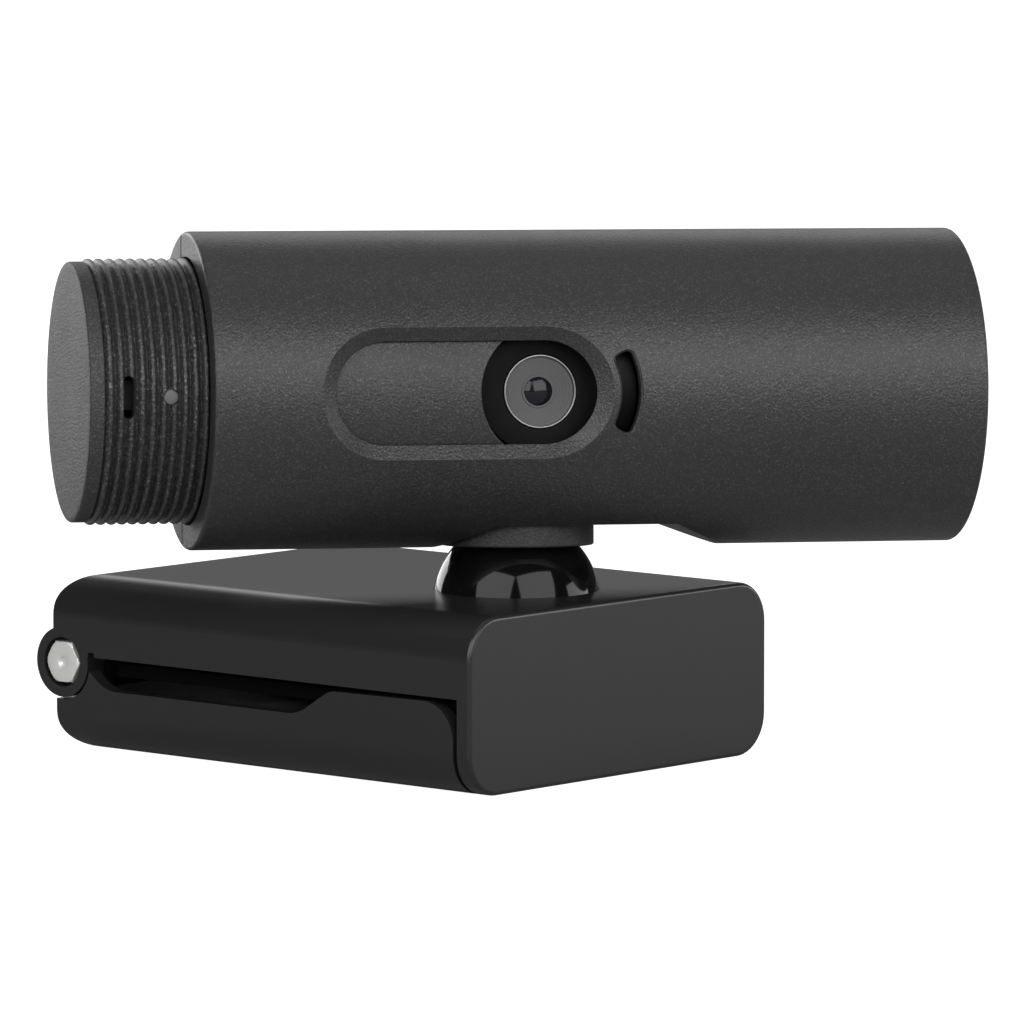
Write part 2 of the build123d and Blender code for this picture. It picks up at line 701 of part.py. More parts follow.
with BuildPart() as status_led:
    with BuildSketch(facing_back(BOARD_FRONT)):
        with Locations((LENS_X + 10.0, 0)):
            Rectangle(1.0, 2.0)
    extrude(amount=0.8)

with BuildPart() as light_guide:
    with BuildSketch(facing_back(-5.2)):
        add(light_outline(0.08))
    extrude(amount=14.0)
    with BuildSketch(across(0)):
        Circle(LIGHT_FACE)
    extrude(amount=20.0, mode=Mode.INTERSECT)

with BuildPart() as image_sensor:
    with BuildSketch(facing_back(BOARD_FRONT)):
        with Locations((LENS_X, 0)):
            Rectangle(8.6, 8.6)
    extrude(amount=1.1)

with BuildPart() as lens_holder:
    with BuildSketch(facing_back(BOARD_FRONT)):
        with Locations((LENS_X, 0)):
            RectangleRounded(14.0, 14.0, 1.0)
    extrude(amount=2.8)
    with BuildSketch(facing_back(BOARD_FRONT - 2.8)):
        with Locations((LENS_X, 0)):
            Circle(6.4)
    extrude(amount=3.6)
    with BuildSketch(facing_back(BOARD_FRONT)):
        with Locations((LENS_X, 0)):
            Rectangle(9.4, 9.4)
    extrude(amount=1.8, mode=Mode.SUBTRACT)
    with BuildSketch(facing_back(BOARD_FRONT)):
        with Locations((LENS_X, 0)):
            Circle(BARREL_LENS + 0.02)
    extrude(amount=7.0, mode=Mode.SUBTRACT)

# ---- pieces turned about the lens axis; their sections are (radius, distance from the barrel axis)


def turned(points):
    """The half section of a turned piece, drawn beside the lens axis."""
    with BuildSketch(Plane.XY, mode=Mode.PRIVATE) as section:
        with BuildLine():
            Polyline(*[(LENS_X + radius, -depth) for radius, depth in points], close=True)
        make_face()
    return section.sketch


lens_axis = Axis((LENS_X, 0, 0), (0, 1, 0))

with BuildPart() as lens_barrel:
    add(
        turned(
            [
                (2.62, 6.3),
                (BARREL_LENS, 6.3),
                (BARREL_LENS, 12.45),
                (2.0, 12.45),
                (2.0, 10.6),
                (2.62, 10.6),
            ]
        )
    )
    revolve(axis=lens_axis)

with BuildPart() as rear_element:
    add(turned([(0, 7.2), (2.6, 7.2), (2.6, 8.6), (0, 8.9)]))
    revolve(axis=lens_axis)

with BuildPart() as lens_cup:
    add(
        turned(
            [
                (GLASS_RADIUS + 0.02, 12.47),
                (4.12, 12.47),
                (4.12, 13.6),
                (3.95, 13.6),
                (3.7, 13.25),
                (GLASS_RADIUS + 0.3, 12.9),
                (GLASS_RADIUS + 0.25, 13.05),
                (GLASS_RADIUS + 0.02, 13.05),
            ]
        )
    )
    revolve(axis=lens_axis)

with BuildPart() as front_element:
    with BuildSketch(facing_back(-12.47)):
        with Locations((LENS_X, 0)):
            Circle(GLASS_RADIUS)
    extrude(amount=1.2)
    with Locations((LENS_X, GLASS_DOME_RADIUS - GLASS_FRONT, 0)):
        Sphere(GLASS_DOME_RADIUS, mode=Mode.INTERSECT)

with BuildPart() as trim_ring:
    add(turned([(4.14, 12.75), (4.38, 12.75), (4.38, 14.08), (4.14, 14.08)]))
    revolve(axis=lens_axis)

with BuildPart() as lens_bezel:
    add(
        turned(
            [
                (4.4, 12.75),
                (6.45, 12.75),
                (6.45, 7.05),
                (BEZEL_RADIUS, 7.05),
                (BEZEL_RADIUS, BEZEL_DEPTH - 0.2),
                (BEZEL_RADIUS - 0.2, BEZEL_DEPTH),
                (4.4, BEZEL_DEPTH),
            ]
        )
    )
    revolve(axis=lens_axis)

with BuildPart() as usb_board:
    with BuildSketch(facing_back(USB_BOARD_BACK)):
        with Locations((USB_X, 0)):
            RectangleRounded(16, 11, 0.8)
        with Locations((USB_X - 6.2, 0), (USB_X + 6.2, 0)):
            Circle(0.9, mode=Mode.SUBTRACT)
    extrude(amount=1.0)

with BuildPart() as usb_board_screws:
    with BuildSketch(facing_back(USB_BOARD_BACK - 1.0)):
        corners([(USB_X - 6.2, 0), (USB_X + 6.2, 0)], 1.4)
    extrude(amount=0.9)
    with BuildSketch(facing_back(USB_BOARD_BACK - 1.0)):
        corners([(USB_X - 6.2, 0), (USB_X + 6.2, 0)], 0.8)
    extrude(amount=-5.0)

# The socket stands on its board; its tongue is inside the mouth.
with BuildPart() as usb_socket:
    with BuildSketch(facing_back(USB_BOARD_BACK)):
        with Locations((USB_X, 0)):
            SlotOverall(8.94, 3.2)
    extrude(amount=USB_BOARD_BACK - 18.0)
    with BuildSketch(facing_back(18.0)):
        with Locations((USB_X, 0)):
            SlotOverall(8.4, 2.6)
            Rectangle(6.7, 0.7, mode=Mode.SUBTRACT)
    extrude(amount=5.5, mode=Mode.SUBTRACT)

with BuildPart() as mount_collar:
    with BuildSketch(at_height(BALL_NECK - AXIS_HEIGHT)):
        Circle(COLLAR_RADIUS)
    extrude(amount=AXIS_HEIGHT - BALL_NECK + SADDLE_Z)
    fillet(mount_collar.edges().group_by(Axis.Z)[0], 0.25)
    add(barrel.part, mode=Mode.SUBTRACT)
    with BuildSketch(at_height(BALL_NECK - AXIS_HEIGHT)):
        Circle(NECK_SCREW + 0.1)
    extrude(amount=5.0, mode=Mode.SUBTRACT)

saddle_floor = SADDLE_Z + BODY_WALL

with BuildPart() as neck_washer:
    with BuildSketch(at_height(saddle_floor)):
        Circle(4.2)
        Circle(NECK_SCREW + 0.1, mode=Mode.SUBTRACT)
    extrude(amount=0.8)

with BuildPart() as neck_screw:
    with BuildSketch(at_height(saddle_floor + 0.8)):
        Circle(3.5)
    extrude(amount=2.2)
    with BuildSketch(at_height(saddle_floor + 0.8)):
        Circle(NECK_SCREW)
    extrude(amount=-14.0)

# ====================== PRIVACY SLIDE ======================

# A flange ring that runs in the shells, with a curved shutter in front that ends in a hollow
# round the lens.
with BuildPart() as privacy_sleeve:
    with BuildSketch(across(FLANGE_LEFT)):
        Circle(SLIDE_RADIUS)
        Circle(KNOB_NECK + RUNNING_GAP, mode=Mode.SUBTRACT)
    extrude(amount=FLANGE_RIGHT - FLANGE_LEFT)
    with BuildSketch(across(O_RING_X - O_RING_WIRE)):
        Circle(SLIDE_RADIUS + 1)
        Circle(SLIDE_RADIUS - 0.85, mode=Mode.SUBTRACT)
    extrude(amount=2 * O_RING_WIRE, mode=Mode.SUBTRACT)
    with BuildSketch(across(FLANGE_RIGHT)):
        with BuildLine():
            CenterArc((0, 0), SLIDE_RADIUS, 180 - SLIDE_HALF_ANGLE, 2 * SLIDE_HALF_ANGLE)
            CenterArc(
                (0, 0), SLIDE_RADIUS - SLIDE_WALL, 180 - SLIDE_HALF_ANGLE, 2 * SLIDE_HALF_ANGLE
            )
            for angle in (180 - SLIDE_HALF_ANGLE, 180 + SLIDE_HALF_ANGLE):
                turn = math.radians(angle)
                Line(
                    (SLIDE_RADIUS * math.cos(turn), SLIDE_RADIUS * math.sin(turn)),
                    (
                        (SLIDE_RADIUS - SLIDE_WALL) * math.cos(turn),
                        (SLIDE_RADIUS - SLIDE_WALL) * math.sin(turn),
                    ),
                )
        make_face()
    extrude(amount=LENS_X - FLANGE_RIGHT)
    with BuildSketch(facing_back(-10)):
        with Locations((LENS_X, 0)):
            Circle(SLIDE_CUTOUT)
    extrude(amount=10.0, mode=Mode.SUBTRACT)
    hollow = privacy_sleeve.edges().filter_by_position(Axis.X, LENS_X - 10, LENS_X - 5)
    fillet([e for e in hollow if e.length > 8 and e.center().Y < 0.5 - SLIDE_RADIUS], EDGE_SOFTENING)

with BuildPart() as slide_o_ring:
    with BuildSketch(Plane.XY):
        with Locations((O_RING_X, SLIDE_RADIUS - 0.3)):
            Circle(O_RING_WIRE)
    revolve(axis=Axis.X)

# The knob: a cup with ribs round it, a sound slot and a hole for the index pip.
with BuildPart() as knob:
    with BuildSketch(across(KNOB_FACE + KNOB_CAP)):
        Circle(RIB_CREST)
    extrude(amount=rib_end - KNOB_FACE - KNOB_CAP)
    with BuildSketch(across(rib_end)):
        Circle(KNOB_NECK)
    extrude(amount=FLANGE_RIGHT - rib_end)
    with BuildSketch(across(KNOB_FACE + KNOB_CAP + 1.2)):
        Circle(KNOB_BORE)
    extrude(amount=20.0, mode=Mode.SUBTRACT)
    with BuildSketch(Plane.XY):
        for rib in range(RIB_COUNT + 1):
            groove = KNOB_FACE + KNOB_CAP + rib * RIB_PITCH
            with BuildLine():
                Polyline(
                    (groove - 0.3, RIB_CREST + 0.05),
                    (groove - 0.1, RIB_CREST - RIB_DEPTH),
                    (groove + 0.1, RIB_CREST - RIB_DEPTH),
                    (groove + 0.3, RIB_CREST + 0.05),
                    close=True,
                )
            make_face()
    revolve(axis=Axis.X, mode=Mode.SUBTRACT)
    with BuildSketch(facing_back(0)):
        with Locations((SLOT_X, MARK_Z)):
            SlotOverall(5.0, 1.3, rotation=90)
        with Locations((PIP_X, MARK_Z)):
            Circle(PIP_RADIUS + 0.02)
    extrude(amount=BODY_RADIUS, mode=Mode.SUBTRACT)
    with BuildSketch(across(KNOB_FACE + KNOB_CAP)):
        Circle(3.02)
    extrude(amount=2.0, mode=Mode.SUBTRACT)
    # two rails that hold the sound board behind the slot
    with BuildSketch(facing_back(-11.4)):
        with Locations((SLOT_X + 1.2, -4.8), (SLOT_X + 1.2, 4.8)):
            Rectangle(5.4, 1.4)
    extrude(amount=2.9)

with BuildPart() as knob_cap:
    with BuildSketch(across(KNOB_FACE)):
        Circle(KNOB_RADIUS)
    extrude(amount=KNOB_CAP)
    fillet(knob_cap.edges().group_by(Axis.X)[0], 0.25)
    with BuildSketch(across(KNOB_FACE + KNOB_CAP)):
        Circle(3.0)
    extrude(amount=1.8)

with BuildPart() as index_pip:
    with BuildSketch(facing_back(-13.9)):
        with Locations((PIP_X, MARK_Z)):
            Circle(PIP_RADIUS)
    extrude(amount=1.8)

with BuildPart() as sound_board:
    with BuildSketch(facing_back(-11.4)):
        with Locations((SLOT_X + 1.7, 0)):
            Rectangle(6.0, 11.0)
    extrude(amount=-0.8)

with BuildPart() as microphone:
    with BuildSketch(facing_back(-11.4)):
        with Locations((SLOT_X + 0.4, 0)):
            Circle(1.75)
    extrude(amount=1.5)

# ======================== PLACE AND WRITE ========================

# The ball joint's pose, turned about the ball's centre: nod about the barrel, lean about the
# line of sight, then pan about the vertical.
head_frame = (
    Location((0, 0, BALL_Z))
    * Location((0, 0, 0), (0, 0, HEAD_PAN))
    * Location((0, 0, 0), (0, HEAD_LEAN, 0))
    * Location((0, 0, 0), (-HEAD_NOD, 0, 0))
    * Location((0, 0, AXIS_HEIGHT))
)

clip_pieces = {
    "clip_leg": clip_leg,
    "tripod_insert": tripod_insert,
    "leg_pad": leg_pad,
    "hinge_washers": hinge_washers,
    "clip_bracket": clip_bracket,
    "bracket_cover": bracket_cover,
    "cover_screws": cover_screws,
    "top_pad": top_pad,
    "front_pad": front_pad,
    "hinge_bolt": hinge_bolt,
    "hinge_nut": hinge_nut,
    "socket_ring": socket_ring,
    "disc_spring": disc_spring,
    "pressure_cup": pressure_cup,
    "socket_liner": socket_liner,
}
head_pieces = {
    "ball": ball,
    "mount_collar": mount_collar,
    "neck_washer": neck_washer,
    "neck_screw": neck_screw,
    "front_shell": front_shell,
    "rear_shell": rear_shell,
    "end_cap": end_cap,
    "shell_screws": shell_screws,
    "chassis": chassis,
    "chassis_screws": chassis_screws,
    "main_board": main_board,
    "board_screws": board_screws,
    "processor": processor,
    "shield_can": shield_can,
    "status_led": status_led,
    "light_guide": light_guide,
    "image_sensor": image_sensor,
    "lens_holder": lens_holder,
    "lens_barrel": lens_barrel,
    "rear_element": rear_element,
    "lens_cup": lens_cup,
    "front_element": front_element,
    "trim_ring": trim_ring,
    "lens_bezel": lens_bezel,
    "usb_board": usb_board,
    "usb_board_screws": usb_board_screws,
    "usb_socket": usb_socket,
    "privacy_sleeve": privacy_sleeve,
    "slide_o_ring": slide_o_ring,
    "knob": knob,
    "knob_cap": knob_cap,
    "index_pip": index_pip,
    "sound_board": sound_board,
    "microphone": microphone,
}

for name, piece in clip_pieces.items():
    piece.part.label = name
    export_step(piece.part, f"parts/{name}.step")

for name, piece in head_pieces.items():
    piece.part.move(head_frame)
    piece.part.label = name
    export_step(piece.part, f"parts/{name}.step")
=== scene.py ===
"""A webcam on a folding clip: its visual pieces, finishes, light and camera."""

import json
import logging
import math
from dataclasses import dataclass, field
from enum import Enum
from functools import cache

import bmesh
import bpy
import numpy as np
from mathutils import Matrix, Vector


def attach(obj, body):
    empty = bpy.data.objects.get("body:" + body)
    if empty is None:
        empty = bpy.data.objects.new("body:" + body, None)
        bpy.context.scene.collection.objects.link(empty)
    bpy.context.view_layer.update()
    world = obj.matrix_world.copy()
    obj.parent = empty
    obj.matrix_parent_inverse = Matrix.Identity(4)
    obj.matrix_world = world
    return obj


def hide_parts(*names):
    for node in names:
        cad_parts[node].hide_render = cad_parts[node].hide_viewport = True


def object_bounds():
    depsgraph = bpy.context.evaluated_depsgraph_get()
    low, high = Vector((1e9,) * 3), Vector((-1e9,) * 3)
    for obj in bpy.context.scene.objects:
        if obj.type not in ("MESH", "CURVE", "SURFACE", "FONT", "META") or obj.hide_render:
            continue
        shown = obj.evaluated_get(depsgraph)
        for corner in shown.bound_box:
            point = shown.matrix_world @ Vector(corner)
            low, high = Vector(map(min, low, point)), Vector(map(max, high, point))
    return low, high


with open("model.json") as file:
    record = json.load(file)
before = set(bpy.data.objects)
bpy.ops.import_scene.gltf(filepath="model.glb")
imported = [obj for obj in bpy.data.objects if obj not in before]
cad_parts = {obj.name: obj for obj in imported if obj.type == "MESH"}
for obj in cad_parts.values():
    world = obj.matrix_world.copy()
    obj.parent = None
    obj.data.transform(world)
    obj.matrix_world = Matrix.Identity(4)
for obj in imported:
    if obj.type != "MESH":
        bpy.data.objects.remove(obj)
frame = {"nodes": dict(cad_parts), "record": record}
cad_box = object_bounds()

log = logging.getLogger("webcam")
MM = 0.001
Points = np.ndarray
Colour = tuple[float, float, float]
Place = tuple[float, float, float]


# ---------------------------------------------------------------- shader groups


class Socket(Enum):
    """The kinds of socket a shader group can have."""

    VALUE = "NodeSocketFloat"
    VECTOR = "NodeSocketVector"


class GroupBuilder:
    """Makes one shader node group with named inputs and outputs."""

    def __init__(self, name: str) -> None:
        """Starts an empty group.

        Args:
            name: the group's name.
        """
        self.tree = bpy.data.node_groups.new(name, "ShaderNodeTree")
        self.source = self.tree.nodes.new("NodeGroupInput")
        self.sink = self.tree.nodes.new("NodeGroupOutput")

    def takes(self, name: str, kind: Socket, default: float | tuple | None = None) -> None:
        """Adds an input socket.

        Args:
            name: the socket's name.
            kind: what it carries.
            default: its value where nothing is linked.
        """
        item = self.tree.interface.new_socket(name, in_out="INPUT", socket_type=kind.value)
        if default is not None:
            item.default_value = default

    def gives(self, name: str, kind: Socket) -> None:
        """Adds an output socket called name."""
        self.tree.interface.new_socket(name, in_out="OUTPUT", socket_type=kind.value)

    def node(self, kind: str, **settings: object) -> bpy.types.Node:
        """Adds a node and sets its properties.

        Args:
            kind: the node's type.
            **settings: the properties to set on it.

        Returns:
            The node.
        """
        made = self.tree.nodes.new(kind)
        for key, value in settings.items():
            setattr(made, key, value)
        return made

    def join(self, out: bpy.types.NodeSocket, into: bpy.types.NodeSocket) -> None:
        """Links an output to an input."""
        self.tree.links.new(out, into)


def grain_group() -> bpy.types.NodeTree:
    """A fine even grain, and a broad mottle to vary tone and gloss.

    Height is a two-octave noise of the wanted size; Mottle is a noise about thirty times broader.

    Returns:
        The group: Vector and Scale in, Height and Mottle out.
    """
    mottle_share = 0.033
    made = GroupBuilder("fine_grain")
    made.takes("Vector", Socket.VECTOR)
    made.takes("Scale", Socket.VALUE, 4000.0)
    made.gives("Height", Socket.VALUE)
    made.gives("Mottle", Socket.VALUE)
    fine = made.node("ShaderNodeTexNoise")
    fine.inputs["Detail"].default_value = 2.0
    broad = made.node("ShaderNodeTexNoise")
    broad.inputs["Detail"].default_value = 3.0
    share = made.node("ShaderNodeMath", operation="MULTIPLY")
    share.inputs[1].default_value = mottle_share
    made.join(made.source.outputs["Vector"], fine.inputs["Vector"])
    made.join(made.source.outputs["Vector"], broad.inputs["Vector"])
    made.join(made.source.outputs["Scale"], fine.inputs["Scale"])
    made.join(made.source.outputs["Scale"], share.inputs[0])
    made.join(share.outputs[0], broad.inputs["Scale"])
    made.join(fine.outputs["Fac"], made.sink.inputs["Height"])
    made.join(broad.outputs["Fac"], made.sink.inputs["Mottle"])
    return made.tree


def flake_group() -> bpy.types.NodeTree:
    """Metal flakes in paint: cells of random tilt, a share of which glint.

    Each Voronoi cell has a random value. Height is that value, so a bump tilts the cells apart,
    and Glint is one where the value is above one less the share, with a soft step.

    Returns:
        The group: Vector, Scale and Share in, Height and Glint out.
    """
    made = GroupBuilder("paint_flake")
    made.takes("Vector", Socket.VECTOR)
    made.takes("Scale", Socket.VALUE, 5000.0)
    made.takes("Share", Socket.VALUE, 0.2)
    made.gives("Height", Socket.VALUE)
    made.gives("Glint", Socket.VALUE)
    cells = made.node("ShaderNodeTexVoronoi", feature="F1")
    split = made.node("ShaderNodeSeparateColor")
    start = made.node("ShaderNodeMath", operation="SUBTRACT")
    start.inputs[0].default_value = 1.0
    step = made.node("ShaderNodeMapRange", interpolation_type="SMOOTHSTEP")
    step.inputs["From Max"].default_value = 1.0
    made.join(made.source.outputs["Vector"], cells.inputs["Vector"])
    made.join(made.source.outputs["Scale"], cells.inputs["Scale"])
    made.join(made.source.outputs["Share"], start.inputs[1])
    made.join(cells.outputs["Color"], split.inputs[0])
    made.join(split.outputs[0], step.inputs["Value"])
    made.join(start.outputs[0], step.inputs["From Min"])
    made.join(split.outputs[1], made.sink.inputs["Height"])
    made.join(step.outputs[0], made.sink.inputs["Glint"])
    return made.tree


def brush_group() -> bpy.types.NodeTree:
    """Fine parallel marks of turning or brushing.

    A noise read on coordinates squeezed along the marks, so that it draws long streaks.

    Returns:
        The group: Vector, Scale and Along in, Streak out.
    """
    made = GroupBuilder("tool_marks")
    made.takes("Vector", Socket.VECTOR)
    made.takes("Scale", Socket.VALUE, 6000.0)
    made.takes("Along", Socket.VECTOR, (0.03, 1.0, 1.0))
    made.gives("Streak", Socket.VALUE)
    squeeze = made.node("ShaderNodeVectorMath", operation="MULTIPLY")
    noise = made.node("ShaderNodeTexNoise")
    noise.inputs["Detail"].default_value = 2.0
    made.join(made.source.outputs["Vector"], squeeze.inputs[0])
    made.join(made.source.outputs["Along"], squeeze.inputs[1])
    made.join(squeeze.outputs[0], noise.inputs["Vector"])
    made.join(made.source.outputs["Scale"], noise.inputs["Scale"])
    made.join(noise.outputs["Fac"], made.sink.inputs["Streak"])
    return made.tree


# ---------------------------------------------------------------- finishes


class Paints:
    """The shader groups that the finishes share, made once."""

    def __init__(self) -> None:
        """Makes every group."""
        self.grain = grain_group()
        self.flake = flake_group()
        self.brush = brush_group()


class Recipe:
    """One material being mixed: its tree, its shader and the usual helpers."""

    def __init__(self, name: str) -> None:
        """Starts a material with a Principled shader.

        Args:
            name: the material's name.
        """
        self.material = bpy.data.materials.new(name)
        self.material.use_nodes = True
        self.tree = self.material.node_tree
        self.tree.nodes.clear()
        self.shader = self.tree.nodes.new("ShaderNodeBsdfPrincipled")
        out = self.tree.nodes.new("ShaderNodeOutputMaterial")
        self.tree.links.new(self.shader.outputs[0], out.inputs["Surface"])
        self.place = self.tree.nodes.new("ShaderNodeTexCoord").outputs["Object"]

    def fix(self, **values: float | Colour) -> None:
        """Sets constant values on the shader's own sockets.

        Args:
            **values: the sockets' names, with _ for a space, and their values.
        """
        for key, value in values.items():
            socket = self.shader.inputs[key.replace("_", " ")]
            if isinstance(value, tuple) and len(value) == 3 and socket.type == "RGBA":
                value = (*value, 1.0)
            socket.default_value = value

    def group(self, tree: bpy.types.NodeTree, **values: float | Colour) -> bpy.types.Node:
        """Places a shader group that reads object coordinates.

        Args:
            tree: the group.
            **values: the values of its inputs.

        Returns:
            The group's node.
        """
        node = self.tree.nodes.new("ShaderNodeGroup")
        node.node_tree = tree
        self.tree.links.new(self.place, node.inputs["Vector"])
        for key, value in values.items():
            node.inputs[key].default_value = value
        return node

    def spread(self, mask: bpy.types.NodeSocket, low: float, high: float) -> bpy.types.NodeSocket:
        """Maps a mask from 0..1 to low..high.

        Args:
            mask: the mask.
            low: the value where the mask is 0.
            high: the value where it is 1.

        Returns:
            The mapped value.
        """
        node = self.tree.nodes.new("ShaderNodeMapRange")
        node.inputs["To Min"].default_value = low
        node.inputs["To Max"].default_value = high
        self.tree.links.new(mask, node.inputs["Value"])
        return node.outputs[0]

    def mix(self, mask: bpy.types.NodeSocket, low: Colour, high: Colour) -> bpy.types.NodeSocket:
        """Blends two colours by a mask.

        Args:
            mask: the mask.
            low: the colour where the mask is 0.
            high: the colour where it is 1.

        Returns:
            The blended colour.
        """
        node = self.tree.nodes.new("ShaderNodeMix")
        node.data_type = "RGBA"
        node.inputs["A"].default_value = (*low, 1.0)
        node.inputs["B"].default_value = (*high, 1.0)
        self.tree.links.new(mask, node.inputs["Factor"])
        return next(s for s in node.outputs if s.type == "RGBA")

    def link(self, out: bpy.types.NodeSocket, socket: str) -> None:
        """Feeds one of the shader's sockets."""
        self.tree.links.new(out, self.shader.inputs[socket])

    def bump(self, height: bpy.types.NodeSocket, depth: float, strength: float = 1.0) -> None:
        """Lets a height tilt the surface, on top of any bump already there.

        Args:
            height: the height, 0 to 1.
            depth: how deep 1 is, in metres.
            strength: the share of the tilt that is kept.
        """
        node = self.tree.nodes.new("ShaderNodeBump")
        node.inputs["Distance"].default_value = depth
        node.inputs["Strength"].default_value = strength
        self.tree.links.new(height, node.inputs["Height"])
        for link in list(self.shader.inputs["Normal"].links):
            self.tree.links.new(link.from_socket, node.inputs["Normal"])
        self.link(node.outputs[0], "Normal")


@dataclass(frozen=True)
class FlakePaint:
    """Dark paint with fine metal flake, as on the barrel and knob."""

    name: str
    colour: Colour
    glint: Colour
    roughness: float = 0.37
    size: float = 0.14 * MM
    share: float = 0.25
    tooth: float = 0.03 * MM
    patchy: float = 0.05
    metal: tuple[float, float] = (0.1, 0.4)
    grain_pitch: float = 0.45
    grain_tooth: int = 3

    def make(self, paints: Paints) -> bpy.types.Material:
        """Mixes the material."""
        mixed = Recipe(self.name)
        flake = mixed.group(paints.flake, Scale=1.0 / self.size, Share=self.share)
        grain = mixed.group(paints.grain, Scale=self.grain_pitch / self.size)
        mixed.link(mixed.mix(flake.outputs["Glint"], self.colour, self.glint), "Base Color")
        mixed.link(
            mixed.spread(grain.outputs["Mottle"], self.roughness - self.patchy,
                         self.roughness + self.patchy),
            "Roughness",
        )
        mixed.link(mixed.spread(flake.outputs["Glint"], *self.metal), "Metallic")
        mixed.bump(flake.outputs["Height"], self.tooth)
        mixed.bump(grain.outputs["Height"], self.grain_tooth * self.tooth)
        return mixed.material


@dataclass(frozen=True)
class Moulding:
    """Moulded plastic or rubber: a fine grain, and gloss that varies a little."""

    name: str
    colour: Colour
    roughness: float
    size: float = 0.15 * MM
    depth: float = 0.006 * MM
    tone: float = 1.25
    gloss: float = 0.5
    patchy: float = 0.12

    def make(self, paints: Paints) -> bpy.types.Material:
        """Mixes the material."""
        mixed = Recipe(self.name)
        grain = mixed.group(paints.grain, Scale=1.0 / self.size)
        light = tuple(min(1.0, c * self.tone) for c in self.colour)
        mixed.link(mixed.mix(grain.outputs["Mottle"], self.colour, light), "Base Color")
        mixed.link(
            mixed.spread(grain.outputs["Mottle"], self.roughness * (1 - self.patchy),
                         self.roughness * (1 + self.patchy)),
            "Roughness",
        )
        mixed.bump(grain.outputs["Height"], self.depth)
        mixed.fix(Specular_IOR_Level=self.gloss)
        return mixed.material


@dataclass(frozen=True)
class WorkedMetal:
    """Bare or plated metal with fine tool marks."""

    name: str
    colour: Colour
    roughness: float
    along: Place = (0.03, 1.0, 1.0)
    size: float = 0.16 * MM
    depth: float = 0.002 * MM
    metal: float = 1.0
    mottle: float = 3000.0
    dulled: float = 0.8
    uneven: tuple[float, float] = (0.7, 1.3)

    def make(self, paints: Paints) -> bpy.types.Material:
        """Mixes the material."""
        mixed = Recipe(self.name)
        marks = mixed.group(paints.brush, Scale=1.0 / self.size, Along=self.along)
        mottle = mixed.group(paints.grain, Scale=self.mottle)
        dull = tuple(c * self.dulled for c in self.colour)
        mixed.link(mixed.mix(mottle.outputs["Mottle"], dull, self.colour), "Base Color")
        mixed.link(
            mixed.spread(marks.outputs["Streak"], self.roughness * self.uneven[0],
                         self.roughness * self.uneven[1]),
            "Roughness",
        )
        mixed.bump(marks.outputs["Streak"], self.depth)
        mixed.fix(Metallic=self.metal)
        return mixed.material


@dataclass(frozen=True)
class CircuitBoard:
    """Green solder mask with a faint grid of copper under it."""

    name: str
    colour: Colour = (0.012, 0.07, 0.035)
    copper: Colour = (0.03, 0.14, 0.07)
    track_scale: float = 900.0
    track_run: Place = (0.12, 0.12, 1.0)
    track_edge: tuple[float, float] = (-6.0, 7.0)
    grain_scale: float = 5000.0
    roughness: tuple[float, float] = (0.22, 0.34)
    depth: float = 0.01 * MM

    def make(self, paints: Paints) -> bpy.types.Material:
        """Mixes the material."""
        mixed = Recipe(self.name)
        tracks = mixed.group(paints.brush, Scale=self.track_scale, Along=self.track_run)
        grain = mixed.group(paints.grain, Scale=self.grain_scale)
        edge = mixed.spread(tracks.outputs["Streak"], *self.track_edge)
        mixed.link(mixed.mix(edge, self.colour, self.copper), "Base Color")
        mixed.link(mixed.spread(grain.outputs["Mottle"], *self.roughness), "Roughness")
        mixed.bump(edge, self.depth)
        return mixed.material


@dataclass(frozen=True)
class LensGlass:
    """Coated glass whose colour is painted dark: painted shade for the shaded inside of the lens behind
    it.
    """

    name: str
    colour: Colour
    roughness: float = 0.12
    clear: float = 0.6
    bending: float = 1.4
    grain_scale: float = 2500.0
    tint: float = 1.5

    def make(self, paints: Paints) -> bpy.types.Material:
        """Mixes the material."""
        mixed = Recipe(self.name)
        grain = mixed.group(paints.grain, Scale=self.grain_scale)
        tinted = tuple(c * self.tint for c in self.colour)
        mixed.link(mixed.mix(grain.outputs["Mottle"], self.colour, tinted), "Base Color")
        mixed.fix(Roughness=self.roughness, IOR=self.bending, Transmission_Weight=self.clear)
        return mixed.material


# ---------------------------------------------------------------- camera and light


@dataclass(frozen=True)
class Softbox:
    """One rectangular light: degrees round from the camera and up, metres away, metres, watts."""

    name: str
    azimuth: float
    elevation: float
    away: float
    size: tuple[float, float]
    power: float


